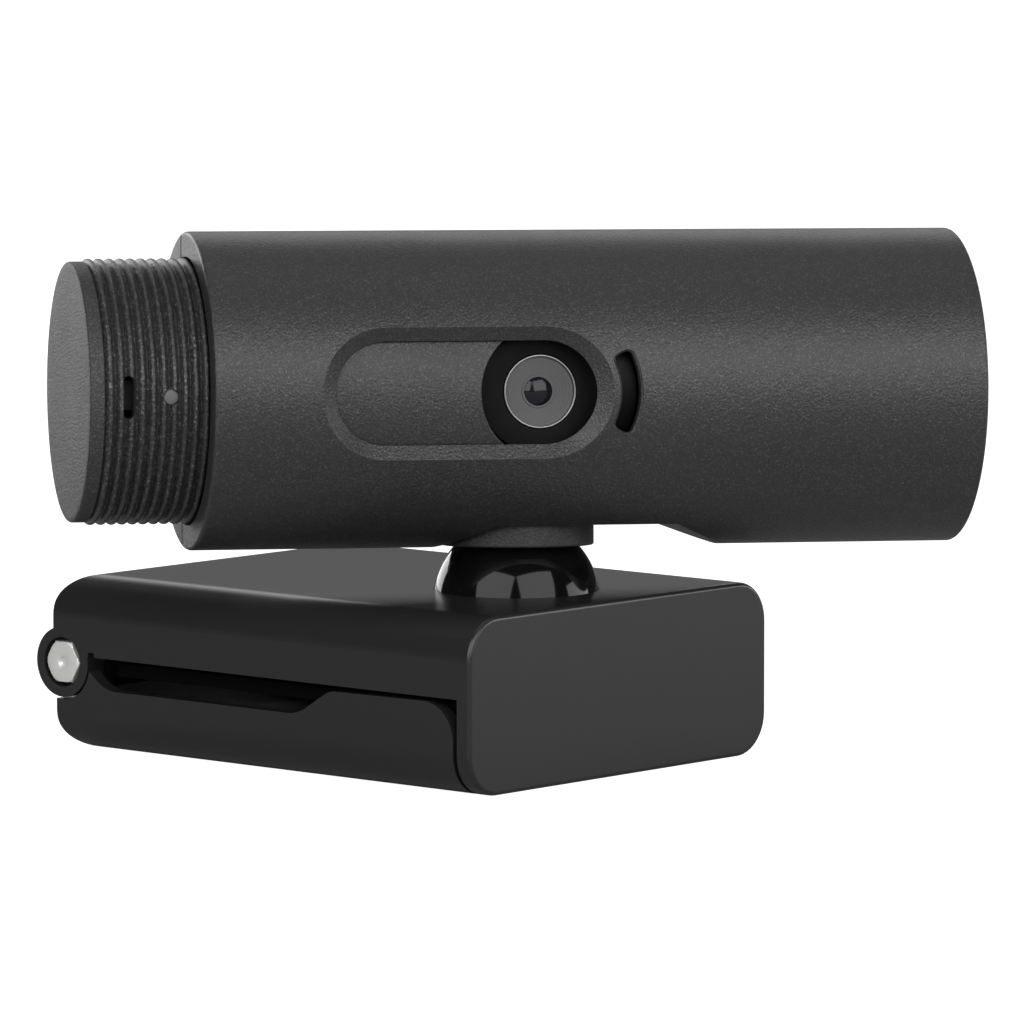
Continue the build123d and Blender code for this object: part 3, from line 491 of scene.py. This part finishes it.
@dataclass
class Studio:
    """The floor, the lights and the camera."""

    azimuth: float = -48.74
    elevation: float = 6.31
    target: Place = (-23.9 * MM, -20.24 * MM, 33.9 * MM)
    distance: float = 0.9772
    lens: float = 295.3
    sensor: float = 36.0
    aim: Place = (0.0, 0.0, 0.04)
    surround: float = 0.04
    floor_half: float = 9.0
    floor_tones: tuple[float, float] = (0.4, 0.42)
    floor_light: float = 1.0
    boxes: tuple[Softbox, ...] = (
        Softbox("left_back_box", -146.0, 2.0, 1.1, (0.6, 0.45), 3.0),
        Softbox("front_left_box", -34.0, 24.0, 1.4, (1.3, 1.0), 13.0),
        Softbox("front_right_box", 31.0, 24.0, 1.4, (1.3, 1.0), 13.0),
        Softbox("right_box", 98.0, 4.0, 1.2, (0.9, 0.6), 6.0),
        Softbox("back_box", 180.0, 24.0, 1.5, (2.6, 0.45), 5.5),
        Softbox("top_box", 180.0, 80.0, 1.3, (1.6, 1.2), 3.0),
    )

    def ray(self, azimuth: float, elevation: float) -> Vector:
        """The direction from the object to a place round it.

        Args:
            azimuth: degrees round from -y.
            elevation: degrees up.

        Returns:
            A vector of length one.
        """
        turn, lift = math.radians(azimuth), math.radians(elevation)
        return Vector(
            (math.sin(turn) * math.cos(lift), -math.cos(turn) * math.cos(lift), math.sin(lift))
        )

    def camera(self) -> None:
        """Makes the camera and points it at its target."""
        data = bpy.data.cameras.new("camera")
        data.lens = self.lens
        data.sensor_width = self.sensor
        data.clip_start, data.clip_end = 0.05, 60.0
        made = bpy.data.objects.new("camera", data)
        back = self.ray(self.azimuth, self.elevation)
        made.location = Vector(self.target) + back * self.distance
        made.rotation_mode = "QUATERNION"
        made.rotation_quaternion = (-back).to_track_quat("-Z", "Y")
        bpy.context.scene.collection.objects.link(made)
        bpy.context.scene.camera = made

    def softbox(self, box: Softbox) -> None:
        """Hangs one rectangular light that faces the object.

        Args:
            box: the light.
        """
        data = bpy.data.lights.new(box.name, "AREA")
        data.shape = "RECTANGLE"
        data.size, data.size_y = box.size
        data.energy = box.power
        made = bpy.data.objects.new(box.name, data)
        back = self.ray(self.azimuth + box.azimuth, box.elevation)
        made.location = Vector(self.aim) + back * box.away
        made.rotation_mode = "QUATERNION"
        made.rotation_quaternion = (-back).to_track_quat("-Z", "Y")
        bpy.context.scene.collection.objects.link(made)

    def world(self) -> None:
        """A dim even surround; the softboxes do the lighting."""
        made = bpy.data.worlds.new("surround")
        bpy.context.scene.world = made
        made.use_nodes = True
        tree = made.node_tree
        tree.nodes.clear()
        out = tree.nodes.new("ShaderNodeOutputWorld")
        shade = tree.nodes.new("ShaderNodeBackground")
        shade.inputs["Color"].default_value = (1.0, 1.0, 1.0, 1.0)
        shade.inputs["Strength"].default_value = self.surround
        tree.links.new(shade.outputs[0], out.inputs["Surface"])

    def floor(self) -> None:
        """A plain pale floor under the object."""
        across = np.linspace(-self.floor_half, self.floor_half, 25)
        x, y = np.meshgrid(across, across, indexing="ij")
        made = sheet_object("floor", np.stack([x, y, np.full_like(x, cad_box[0][2])], -1))
        mixed = Recipe("floor_paper")
        grain = mixed.group(paints.grain, Scale=900.0)
        dark, pale = ((tone, tone, tone) for tone in self.floor_tones)
        mixed.link(mixed.mix(grain.outputs["Mottle"], dark, pale), "Base Color")
        mixed.fix(Roughness=0.9, Specular_IOR_Level=0.1, Emission_Color=(1.0, 1.0, 1.0))
        seen = mixed.tree.nodes.new("ShaderNodeLightPath")
        glow = mixed.spread(seen.outputs["Is Camera Ray"], 0.0, self.floor_light)
        mixed.link(glow, "Emission Strength")
        made.data.materials.append(mixed.material)

    def build(self) -> None:
        """Sets up the whole studio."""
        bpy.context.scene.view_settings.view_transform = "Standard"
        self.camera()
        self.world()
        self.floor()
        for box in self.boxes:
            self.softbox(box)
        log.info("studio: %d softboxes, surround, floor, camera", len(self.boxes))


# ---------------------------------------------------------------- surfaces


def sheet_object(name: str, grid: Points, keep: Points | None = None,
                 close_u: bool = False, close_v: bool = False) -> bpy.types.Object:
    """Makes a mesh object from a grid of points.

    Vertex (i, j) of the grid is joined to its neighbours (i+1, j) and (i, j+1) in quads; a closed
    direction joins its last row to its first.

    Args:
        name: the object's name.
        grid: the points, shape (u, v, 3), in metres.
        keep: which cells are filled, shape of the cells; None fills them all.
        close_u: whether the first direction is a loop.
        close_v: whether the second direction is a loop.

    Returns:
        The object, smooth shaded, in the scene.
    """
    nu, nv = grid.shape[:2]
    index = np.arange(nu * nv).reshape(nu, nv)
    if close_u:
        index = np.concatenate([index, index[:1]], 0)
    if close_v:
        index = np.concatenate([index, index[:, :1]], 1)
    quads = np.stack([index[:-1, :-1], index[1:, :-1], index[1:, 1:], index[:-1, 1:]], -1)
    quads = quads.reshape(-1, 4) if keep is None else quads[keep]
    mesh = bpy.data.meshes.new(name)
    mesh.from_pydata(grid.reshape(-1, 3).tolist(), [], quads.tolist())
    mesh.update()
    mesh.shade_smooth()
    made = bpy.data.objects.new(name, mesh)
    bpy.context.scene.collection.objects.link(made)
    return made


def rounded(points: list[tuple[float, float]], radius: float, steps: int = 5) -> Points:
    """Softens the corners of a section.

    Each corner C becomes the curve (1-t)^2 A + 2t(1-t) C + t^2 B, where A and B lie on its two
    sides at the radius from C, or at 0.45 of a side that is shorter.

    Args:
        points: the closed section's corners, in millimetres.
        radius: the softening at every corner.
        steps: the points in each soft corner.

    Returns:
        The closed section, shape (corners * steps, 2).
    """
    corner = np.asarray(points, float)
    before, after = np.roll(corner, 1, 0) - corner, np.roll(corner, -1, 0) - corner
    reach = [np.minimum(radius, 0.45 * np.linalg.norm(side, axis=1)) for side in (before, after)]
    start = corner + before / np.linalg.norm(before, axis=1)[:, None] * reach[0][:, None]
    end = corner + after / np.linalg.norm(after, axis=1)[:, None] * reach[1][:, None]
    t = np.linspace(0.0, 1.0, steps)[None, :, None]
    curve = (1 - t) ** 2 * start[:, None] + 2 * t * (1 - t) * corner[:, None] + t**2 * end[:, None]
    return curve.reshape(-1, 2)


@dataclass(frozen=True)
class HeadFrame:
    """The head's own frame: x along the barrel, lens towards -y, z up, on the barrel's axis."""

    nod: float = math.radians(3.6)
    axis_height: float = 25.6 * MM

    def axes(self) -> tuple[Points, Points]:
        """Works the frame out from the ball joint's centre and its lean and nod axes.

        Returns:
            Its origin, and its three axes as rows.
        """
        joint = {j["name"]: j for j in frame["record"]["behaviour"]["joints"]}
        along = np.asarray(joint["nod"]["axis"], float)
        sight = np.asarray(joint["lean"]["axis"], float)
        upright = np.cross(along, sight)
        back = math.cos(self.nod) * sight - math.sin(self.nod) * upright
        up = math.sin(self.nod) * sight + math.cos(self.nod) * upright
        return np.asarray(joint["nod"]["pos_m"]) + up * self.axis_height, np.stack([along, back, up])

    def place(self, local: Points) -> Points:
        """Carries points from the head's frame, in millimetres, to the shared frame, in metres."""
        origin, axes = self.axes()
        return origin + local @ axes * MM


def turned_about_barrel(section: Points, steps: int) -> Points:
    """Turns a section of (x, radius) rows about the barrel's axis.

    Point (i, j) is (x_i, r_i sin a_j, r_i cos a_j), with a_j evenly round the circle.

    Args:
        section: the section, shape (rows, 2), in millimetres.
        steps: the points round the circle.

    Returns:
        The grid in the head's frame, shape (rows, steps, 3).
    """
    turn = np.linspace(0.0, 2 * math.pi, steps, endpoint=False)
    x, radius = section[:, :1], section[:, 1:]
    return np.stack([x + 0 * turn, radius * np.sin(turn), radius * np.cos(turn)], -1)


def turned_about_lens(section: Points, lens_x: float, steps: int) -> Points:
    """Turns a section of (radius, depth) rows about the lens axis.

    Point (i, j) is (lens_x + r_i cos a_j, -depth_i, r_i sin a_j), with a_j evenly round.

    Args:
        section: the section, shape (rows, 2), in millimetres.
        lens_x: where the axis crosses the barrel's.
        steps: the points round the circle.

    Returns:
        The grid in the head's frame, shape (rows, steps, 3).
    """
    turn = np.linspace(0.0, 2 * math.pi, steps, endpoint=False)
    radius, depth = section[:, :1], section[:, 1:]
    return np.stack([lens_x + radius * np.cos(turn), -depth + 0 * turn, radius * np.sin(turn)], -1)


def settle(piece: bpy.types.Object, crease: float = 40.0) -> None:
    """Merges doubled points, turns all faces outwards and keeps sharp edges crisp.

    Args:
        piece: a closed mesh object.
        crease: the angle, in degrees, past which an edge stays sharp.
    """
    work = bmesh.new()
    work.from_mesh(piece.data)
    bmesh.ops.remove_doubles(work, verts=work.verts, dist=0.002 * MM)
    bmesh.ops.recalc_face_normals(work, faces=work.faces)
    work.to_mesh(piece.data)
    work.free()
    piece.data.shade_smooth()
    piece.data.set_sharp_from_angle(angle=math.radians(crease))


def cut(piece: bpy.types.Object, cutter: bpy.types.Object) -> None:
    """Takes the cutter's solid out of the piece and throws the cutter away.

    Args:
        piece: the closed mesh object to cut.
        cutter: the closed mesh object to cut it with.
    """
    tool = piece.modifiers.new("cut", "BOOLEAN")
    tool.operation, tool.solver, tool.object = "DIFFERENCE", "EXACT", cutter
    depsgraph = bpy.context.evaluated_depsgraph_get()
    result = bpy.data.meshes.new_from_object(piece.evaluated_get(depsgraph))
    piece.modifiers.clear()
    piece.data = result
    bpy.data.objects.remove(cutter)


def slot_prism(centre: tuple[float, float], length: float, width: float,
               depths: tuple[float, float]) -> Points:
    """An upright round-ended prism in the head's frame, as a closed grid.

    The outline is a circle of the width, its upper half moved up and its lower half down by half
    the spare length; the outline is carried from one depth to the other and shrunk to a point at
    each end.

    Args:
        centre: x and z of the prism's middle.
        length: its overall height.
        width: its width.
        depths: y of its two ends.

    Returns:
        The grid in the head's frame, shape (4, points round, 3).
    """
    turn = np.linspace(0.0, 2 * math.pi, 64, endpoint=False)
    out_x = width / 2 * np.cos(turn)
    out_z = width / 2 * np.sin(turn) + np.sign(np.sin(turn)) * (length - width) / 2
    scale = np.array([0.0, 1.0, 1.0, 0.0])[:, None]
    depth = np.array([depths[0], depths[0], depths[1], depths[1]])[:, None]
    return np.stack([centre[0] + scale * out_x, depth + 0 * out_x, centre[1] + scale * out_z], -1)


# ---------------------------------------------------------------- sub-assemblies


@dataclass
class Knob:
    """The grip of the privacy slide: a ribbed cup, its cap and its index pip. Millimetres."""

    head: HeadFrame
    face: float = -54.6
    cap: float = 1.9
    cap_radius: float = 15.5
    dome: float = 0.12
    crest: float = 15.82
    rib_depth: float = 0.7
    rib_pitch: float = 1.27
    ribs: int = 10
    neck: float = 15.0
    end: float = -35.0
    bore: float = 13.8
    slot_x: float = -49.9
    pip_x: float = -44.95
    mark_z: float = -0.2
    slot_length: float = 5.0
    slot_width: float = 1.3
    cap_edge: float = 0.3
    cap_bevel: float = 0.12
    cap_spigot: tuple[float, float] = (3.0, 1.8)
    pip_radius: float = 0.9
    pip_room: float = 0.1
    pip_crown: tuple[float, float] = (15.45, 0.3)
    pip_foot: float = 13.9

    def grip_section(self) -> Points:
        """The grip's closed section.

        Along the ribs the radius is crest - depth |sin(pi u / 2)|^3, where u runs from -1 to 1
        over each rib; the neck and the bore close it.

        Returns:
            The section as rows of (x, radius).
        """
        start = self.face + self.cap
        along = np.linspace(0.0, self.ribs, self.ribs * 20 + 1)
        u = 2 * (along % 1.0) - 1
        valley = np.abs(np.sin(math.pi * u / 2)) ** 3
        outer = np.stack([start + along * self.rib_pitch, self.crest - self.rib_depth * valley], -1)
        last = outer[-1, 0]
        inner = np.array([
            [last + 0.02, self.neck], [self.end, self.neck], [self.end, self.bore],
            [start + 1.2, self.bore], [start + 1.2, 0.0], [start, 0.0],
        ])
        return np.concatenate([outer, inner])

    def build(self) -> None:
        """Builds the grip with its sound slot and pip hole, the cap and the pip."""
        section = self.grip_section()
        grip = sheet_object("knob_grip", self.head.place(turned_about_barrel(section, 256)),
                            close_u=True, close_v=True)
        settle(grip)
        pip_hole = 2 * self.pip_radius + self.pip_room
        for centre, length, width in (
            ((self.slot_x, self.mark_z), self.slot_length, self.slot_width),
            ((self.pip_x, self.mark_z), pip_hole, pip_hole),
        ):
            prism = slot_prism(centre, length, width, (-self.bore + 1.5, -self.crest - 2))
            cutter = sheet_object("knob_cutter", self.head.place(prism), close_v=True)
            settle(cutter)
            cut(grip, cutter)
        settle(grip)
        radius = np.linspace(0.0, self.cap_radius - self.cap_edge, 24)
        front = np.stack([self.face + self.dome * (radius / self.cap_radius) ** 4, radius], -1)
        turn = np.linspace(0.0, math.pi / 2, 7)
        edge = np.stack([
            self.face + self.dome + self.cap_edge * (1 - np.cos(turn)),
            self.cap_radius - self.cap_edge + self.cap_edge * np.sin(turn),
        ], -1)
        rear, (spigot, reach) = self.face + self.cap, self.cap_spigot
        back = np.array([
            [rear - self.cap_bevel, self.cap_radius], [rear, self.cap_radius - self.cap_bevel],
            [rear, spigot], [rear + reach, spigot], [rear + reach, 0.0],
        ])
        cap = sheet_object("knob_cap_disc", self.head.place(
            turned_about_barrel(np.concatenate([front, edge[1:], back]), 192)), close_v=True)
        settle(cap)
        pip_curve = np.linspace(0.0, math.pi / 2, 8)
        rim, rise = self.pip_crown
        section = np.stack([self.pip_radius * np.sin(pip_curve), rim + rise * np.cos(pip_curve)], -1)
        foot = [[self.pip_radius, self.pip_foot], [0.0, self.pip_foot]]
        section = np.concatenate([section, foot])
        grid = turned_about_lens(section, self.pip_x, 48) + np.array([0.0, 0.0, self.mark_z])
        pip = sheet_object("index_pip_dome", self.head.place(grid), close_v=True)
        settle(pip)
        hand_over(grip, "knob", "shutter", "shell", "grip")
        hand_over(cap, "knob_cap", "shutter", "cap")
        hand_over(pip, "index_pip", "shutter", "pip")


@dataclass
class LensStack:
    """The lens behind the window: bezel, trim ring, cup with baffle steps and front glass."""

    head: HeadFrame
    lens_x: float = -0.25
    glass: float = 1.7
    cup: float = 4.12
    trim: float = 4.38
    bezel: float = 7.4
    bezel_depth: float = 14.0
    baffles: int = 7
    cup_back: float = 12.47
    glass_front: float = 13.4
    glass_ball: float = 3.5

    def turned(self, name: str, section: Points, steps: int = 160) -> bpy.types.Object:
        """Turns a closed section about the lens axis.

        Args:
            name: the piece's name.
            section: its rows of (radius, depth), in millimetres.
            steps: the points round the circle.

        Returns:
            The piece.
        """
        grid = turned_about_lens(section, self.lens_x, steps)
        made = sheet_object(name, self.head.place(grid), close_u=True, close_v=True)
        settle(made)
        return made

    def cup_section(self) -> Points:
        """The cup's section: a cone whose face drops in equal small baffle steps to the glass.

        Returns:
            The section as rows of (radius, depth).
        """
        top, low = (3.95, 13.6), (self.glass + 0.3, 12.82)
        share = np.repeat(np.linspace(0.0, 1.0, self.baffles + 1), 2)
        radius = top[0] + (low[0] - top[0]) * share[1:]
        depth = top[1] + (low[1] - top[1]) * share[:-1]
        cone = np.stack([radius, depth], -1)
        rim = [(self.glass + 0.25, 13.05), (self.glass + 0.02, 13.05), (self.glass + 0.02, self.cup_back),
               (self.cup, self.cup_back), (self.cup, 13.6)]
        return np.concatenate([cone, rim])

    def build(self) -> None:
        """Builds the bezel, trim ring, cup and glass."""
        bezel = self.turned("lens_bezel_ring", rounded(
            [(4.4, 12.75), (6.45, 12.75), (6.45, 7.05), (self.bezel, 7.05),
             (self.bezel, self.bezel_depth), (4.4, self.bezel_depth)], 0.22))
        trim = self.turned("lens_trim_ring", rounded(
            [(self.cup + 0.02, 12.75), (self.trim, 12.75), (self.trim, 14.08),
             (self.cup + 0.02, 14.08)], 0.09, 7))
        cup = self.turned("lens_cup_baffled", self.cup_section())
        radius = np.linspace(0.0, self.glass, 20)
        centre = self.glass_front - self.glass_ball
        dome = np.stack([radius, centre + np.sqrt(self.glass_ball**2 - radius**2)], -1)
        section = np.concatenate([dome, [[self.glass, self.cup_back], [0.0, self.cup_back]]])
        grid = turned_about_lens(section, self.lens_x, 96)
        glass = sheet_object("front_glass", self.head.place(grid), close_v=True)
        settle(glass)
        for piece, node, slot_name in (
            (bezel, "lens_bezel", "lens_black"), (trim, "trim_ring", "trim"),
            (cup, "lens_cup", "lens_ring"), (glass, "front_element", "lens_glass"),
        ):
            hand_over(piece, node, "head", slot_name)


@dataclass
class BallStud:
    """The polished ball, with the flat that meets the collar. Millimetres."""

    head: HeadFrame
    radius: float = 10.05
    neck: float = 6.8
    foot: float = 4.8
    bore: float = 2.02
    bore_depth: float = 10.0

    def build(self) -> None:
        """Builds the ball.

        Its section is the arc r = sqrt(R^2 - h^2) between the foot and the neck, with a flat at
        each end and the screw's hole from the neck down.
        """
        low, high = math.asin(-self.foot / self.radius), math.asin(self.neck / self.radius)
        angle = np.linspace(low, high, 96)
        arc = np.stack([self.radius * np.cos(angle), self.radius * np.sin(angle)], -1)
        floor = self.neck - self.bore_depth
        hole = [[self.bore, self.neck], [self.bore, floor], [0.0, floor]]
        section = np.concatenate([[[0.0, -self.foot]], arc, hole])
        turn = np.linspace(0.0, 2 * math.pi, 192, endpoint=False)
        r, h = section[:, :1], section[:, 1:] - self.head.axis_height / MM
        grid = np.stack([r * np.cos(turn), r * np.sin(turn), h + 0 * turn], -1)
        ball = sheet_object("ball_stud", self.head.place(grid), close_v=True)
        settle(ball)
        hand_over(ball, "ball", "head", "ball")


@dataclass
class HingeBolt:
    """The hex bolt of the clip's hinge. Millimetres, along the pin from the head's outer face."""

    pin: tuple[float, float] = (49.8, 10.7)
    start: float = -27.1
    head_height: float = 1.5
    flats: float = 4.9
    shank: float = 1.25
    end: float = 26.55

    def build(self) -> None:
        """Builds the bolt.

        The hexagon's radius at angle a is half the flats over cos(a mod 60 - 30); each row holds
        a share of it, capped by a circle, which chamfers the corners. The shank is a circle.
        """
        turn = np.linspace(0.0, 2 * math.pi, 180, endpoint=False)
        hexagon = self.flats / 2 / np.cos(turn % (math.pi / 3) - math.pi / 6)
        length = self.end - self.start
        x = np.array([0.34, 0.3, 0.16, 0.04, 0.0, 0.0, 0.03, 0.1, 0.3, self.head_height,
                      self.head_height, length, length])
        cap = np.array([0.0, 0.3, 0.5, 0.66, 0.78, 2.36, 2.5, 2.62, 2.9, 2.9,
                        self.shank, self.shank, 0.0])
        radius = np.minimum(cap[:, None], hexagon[None, :])
        grid = np.stack([
            np.broadcast_to(self.start + x[:, None], radius.shape),
            self.pin[0] + radius * np.cos(turn), self.pin[1] + radius * np.sin(turn),
        ], -1)
        bolt = sheet_object("hinge_hex_bolt", grid * MM, close_v=True)
        settle(bolt, 25.0)
        hand_over(bolt, "hinge_bolt", "bracket", "bolt")


def hand_over(piece: bpy.types.Object, node: str, body: str, slot_name: str,
              finish: str = "") -> None:
    """Lets a new piece stand for a carried-over node, ride on its body and take its finish.

    Args:
        piece: the new piece.
        node: the node that it stands for.
        body: the body that it rides on.
        slot_name: the record's material slot.
        finish: its key in FINISHES, where that isn't the slot's name.
    """
    piece.data.materials.clear()
    piece.data.materials.append(mixed_finish(finish or slot_name))
    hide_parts(node)
    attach(piece, body)
    log.info("%s stands for %s on %s: %d faces", piece.name, node, body, len(piece.data.polygons))


# ---------------------------------------------------------------- finishes, by slot or own name

paints = Paints()

FINISHES = {
    "shell": FlakePaint("graphite_flake", (0.03, 0.03, 0.031), (0.085, 0.085, 0.087)),
    "grip": FlakePaint("grip_flake", (0.03, 0.03, 0.031), (0.15, 0.15, 0.153), 0.34, 0.17 * MM,
                       tooth=0.05 * MM),
    "cap": FlakePaint("graphite_flake_face", (0.034, 0.034, 0.035), (0.1, 0.1, 0.102), 0.48,
                      tooth=0.05 * MM),
    "sleeve": FlakePaint("shutter_flake", (0.03, 0.03, 0.031), (0.085, 0.085, 0.087), 0.4),
    "clip": Moulding("clip_satin", (0.016, 0.016, 0.0165), 0.28, 0.12 * MM, 0.0004 * MM, tone=1.06,
                     patchy=0.03),
    "ball": Moulding("ball_polish", (0.003, 0.003, 0.0032), 0.08, 0.3 * MM, 0.0002 * MM, gloss=0.26),
    "collar": FlakePaint("collar_grain", (0.018, 0.018, 0.019), (0.05, 0.05, 0.052), 0.5),
    "lens_black": Moulding("lens_housing_black", (0.003, 0.003, 0.003), 0.6, gloss=0.12),
    "lens_ring": Moulding("lens_cup_grey", (0.085, 0.085, 0.087), 0.6),
    "trim": WorkedMetal("lens_trim_metal", (0.3, 0.3, 0.31), 0.35),
    # painted shade: the glass's dark colour stands in for the shaded inside of the lens
    "lens_glass": LensGlass("coated_glass_painted_shade", (0.02, 0.019, 0.024)),
    # smoked light window, its colour painted near-black as painted shade for the recess of its slot
    "light": Moulding("smoked_window_painted_shade", (0.002, 0.002, 0.002), 0.4, gloss=0.1),
    "led": Moulding("led_resin", (0.7, 0.66, 0.45), 0.2),
    "pip": Moulding("index_pip_grey", (0.1, 0.1, 0.102), 0.6),
    "rubber": Moulding("soft_rubber", (0.014, 0.014, 0.014), 0.75, 0.3 * MM, 0.02 * MM),
    "washer": Moulding("natural_acetal", (0.42, 0.41, 0.38), 0.4),
    "bolt": WorkedMetal("plated_steel", (0.86, 0.86, 0.85), 0.42, metal=0.4),
    "screw": WorkedMetal("blackened_steel", (0.05, 0.05, 0.052), 0.35),
    "brass": WorkedMetal("machined_brass", (0.62, 0.45, 0.2), 0.28, (1.0, 1.0, 0.03)),
    "board": CircuitBoard("solder_mask"),
    "chip": Moulding("chip_epoxy", (0.02, 0.02, 0.02), 0.55),
    "can": WorkedMetal("tinned_steel", (0.6, 0.6, 0.58), 0.32),
    "cover": Moulding("cover_matt_black", (0.002, 0.002, 0.002), 0.8, gloss=0.05),
    "mesh": Moulding("sound_felt", (0.0015, 0.0015, 0.0015), 0.9, 0.25 * MM, 0.05 * MM, gloss=0.03),
    "chassis": Moulding("chassis_black", (0.025, 0.025, 0.026), 0.55, 0.2 * MM, 0.01 * MM),
}


@cache
def mixed_finish(name: str) -> bpy.types.Material:
    """Mixes a finish once and returns its material."""
    return FINISHES[name].make(paints)


@dataclass
class CarriedOver:
    """A sub-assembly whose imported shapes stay, each in its slot's finish or in one of its own."""

    title: str
    bodies: tuple[str, ...]
    own: dict[str, str] = field(default_factory=dict)

    def build(self) -> None:
        """Dresses every node of the sub-assembly's bodies."""
        slots = {part["node"]: part["material_slot"] for part in frame["record"]["subparts"]}
        for body in self.bodies:
            for node in frame["record"]["behaviour"]["bodies"][body]:
                finish = self.own.get(node, slots[node])
                for place in frame["nodes"][node].material_slots:
                    place.material = mixed_finish(finish)
                log.info("%s: %s carried over in %s", self.title, node, finish)


def main() -> None:
    """Builds everything in order."""
    logging.basicConfig(level=logging.INFO)
    Studio().build()
    head = HeadFrame()
    assemblies = (
        CarriedOver("clip", ("leg", "bracket"), {"bracket_cover": "cover", "socket_ring": "cover"}),
        CarriedOver("ball joint", ("pan_cup", "liner")),
        CarriedOver("housing and electronics", ("head",)),
        CarriedOver("privacy slide", ("shutter",), {"sound_board": "mesh"}),
        Knob(head),
        LensStack(head),
        BallStud(head),
        HingeBolt(),
    )
    for assembly in assemblies:
        assembly.build()


if __name__ == "__main__":
    main()
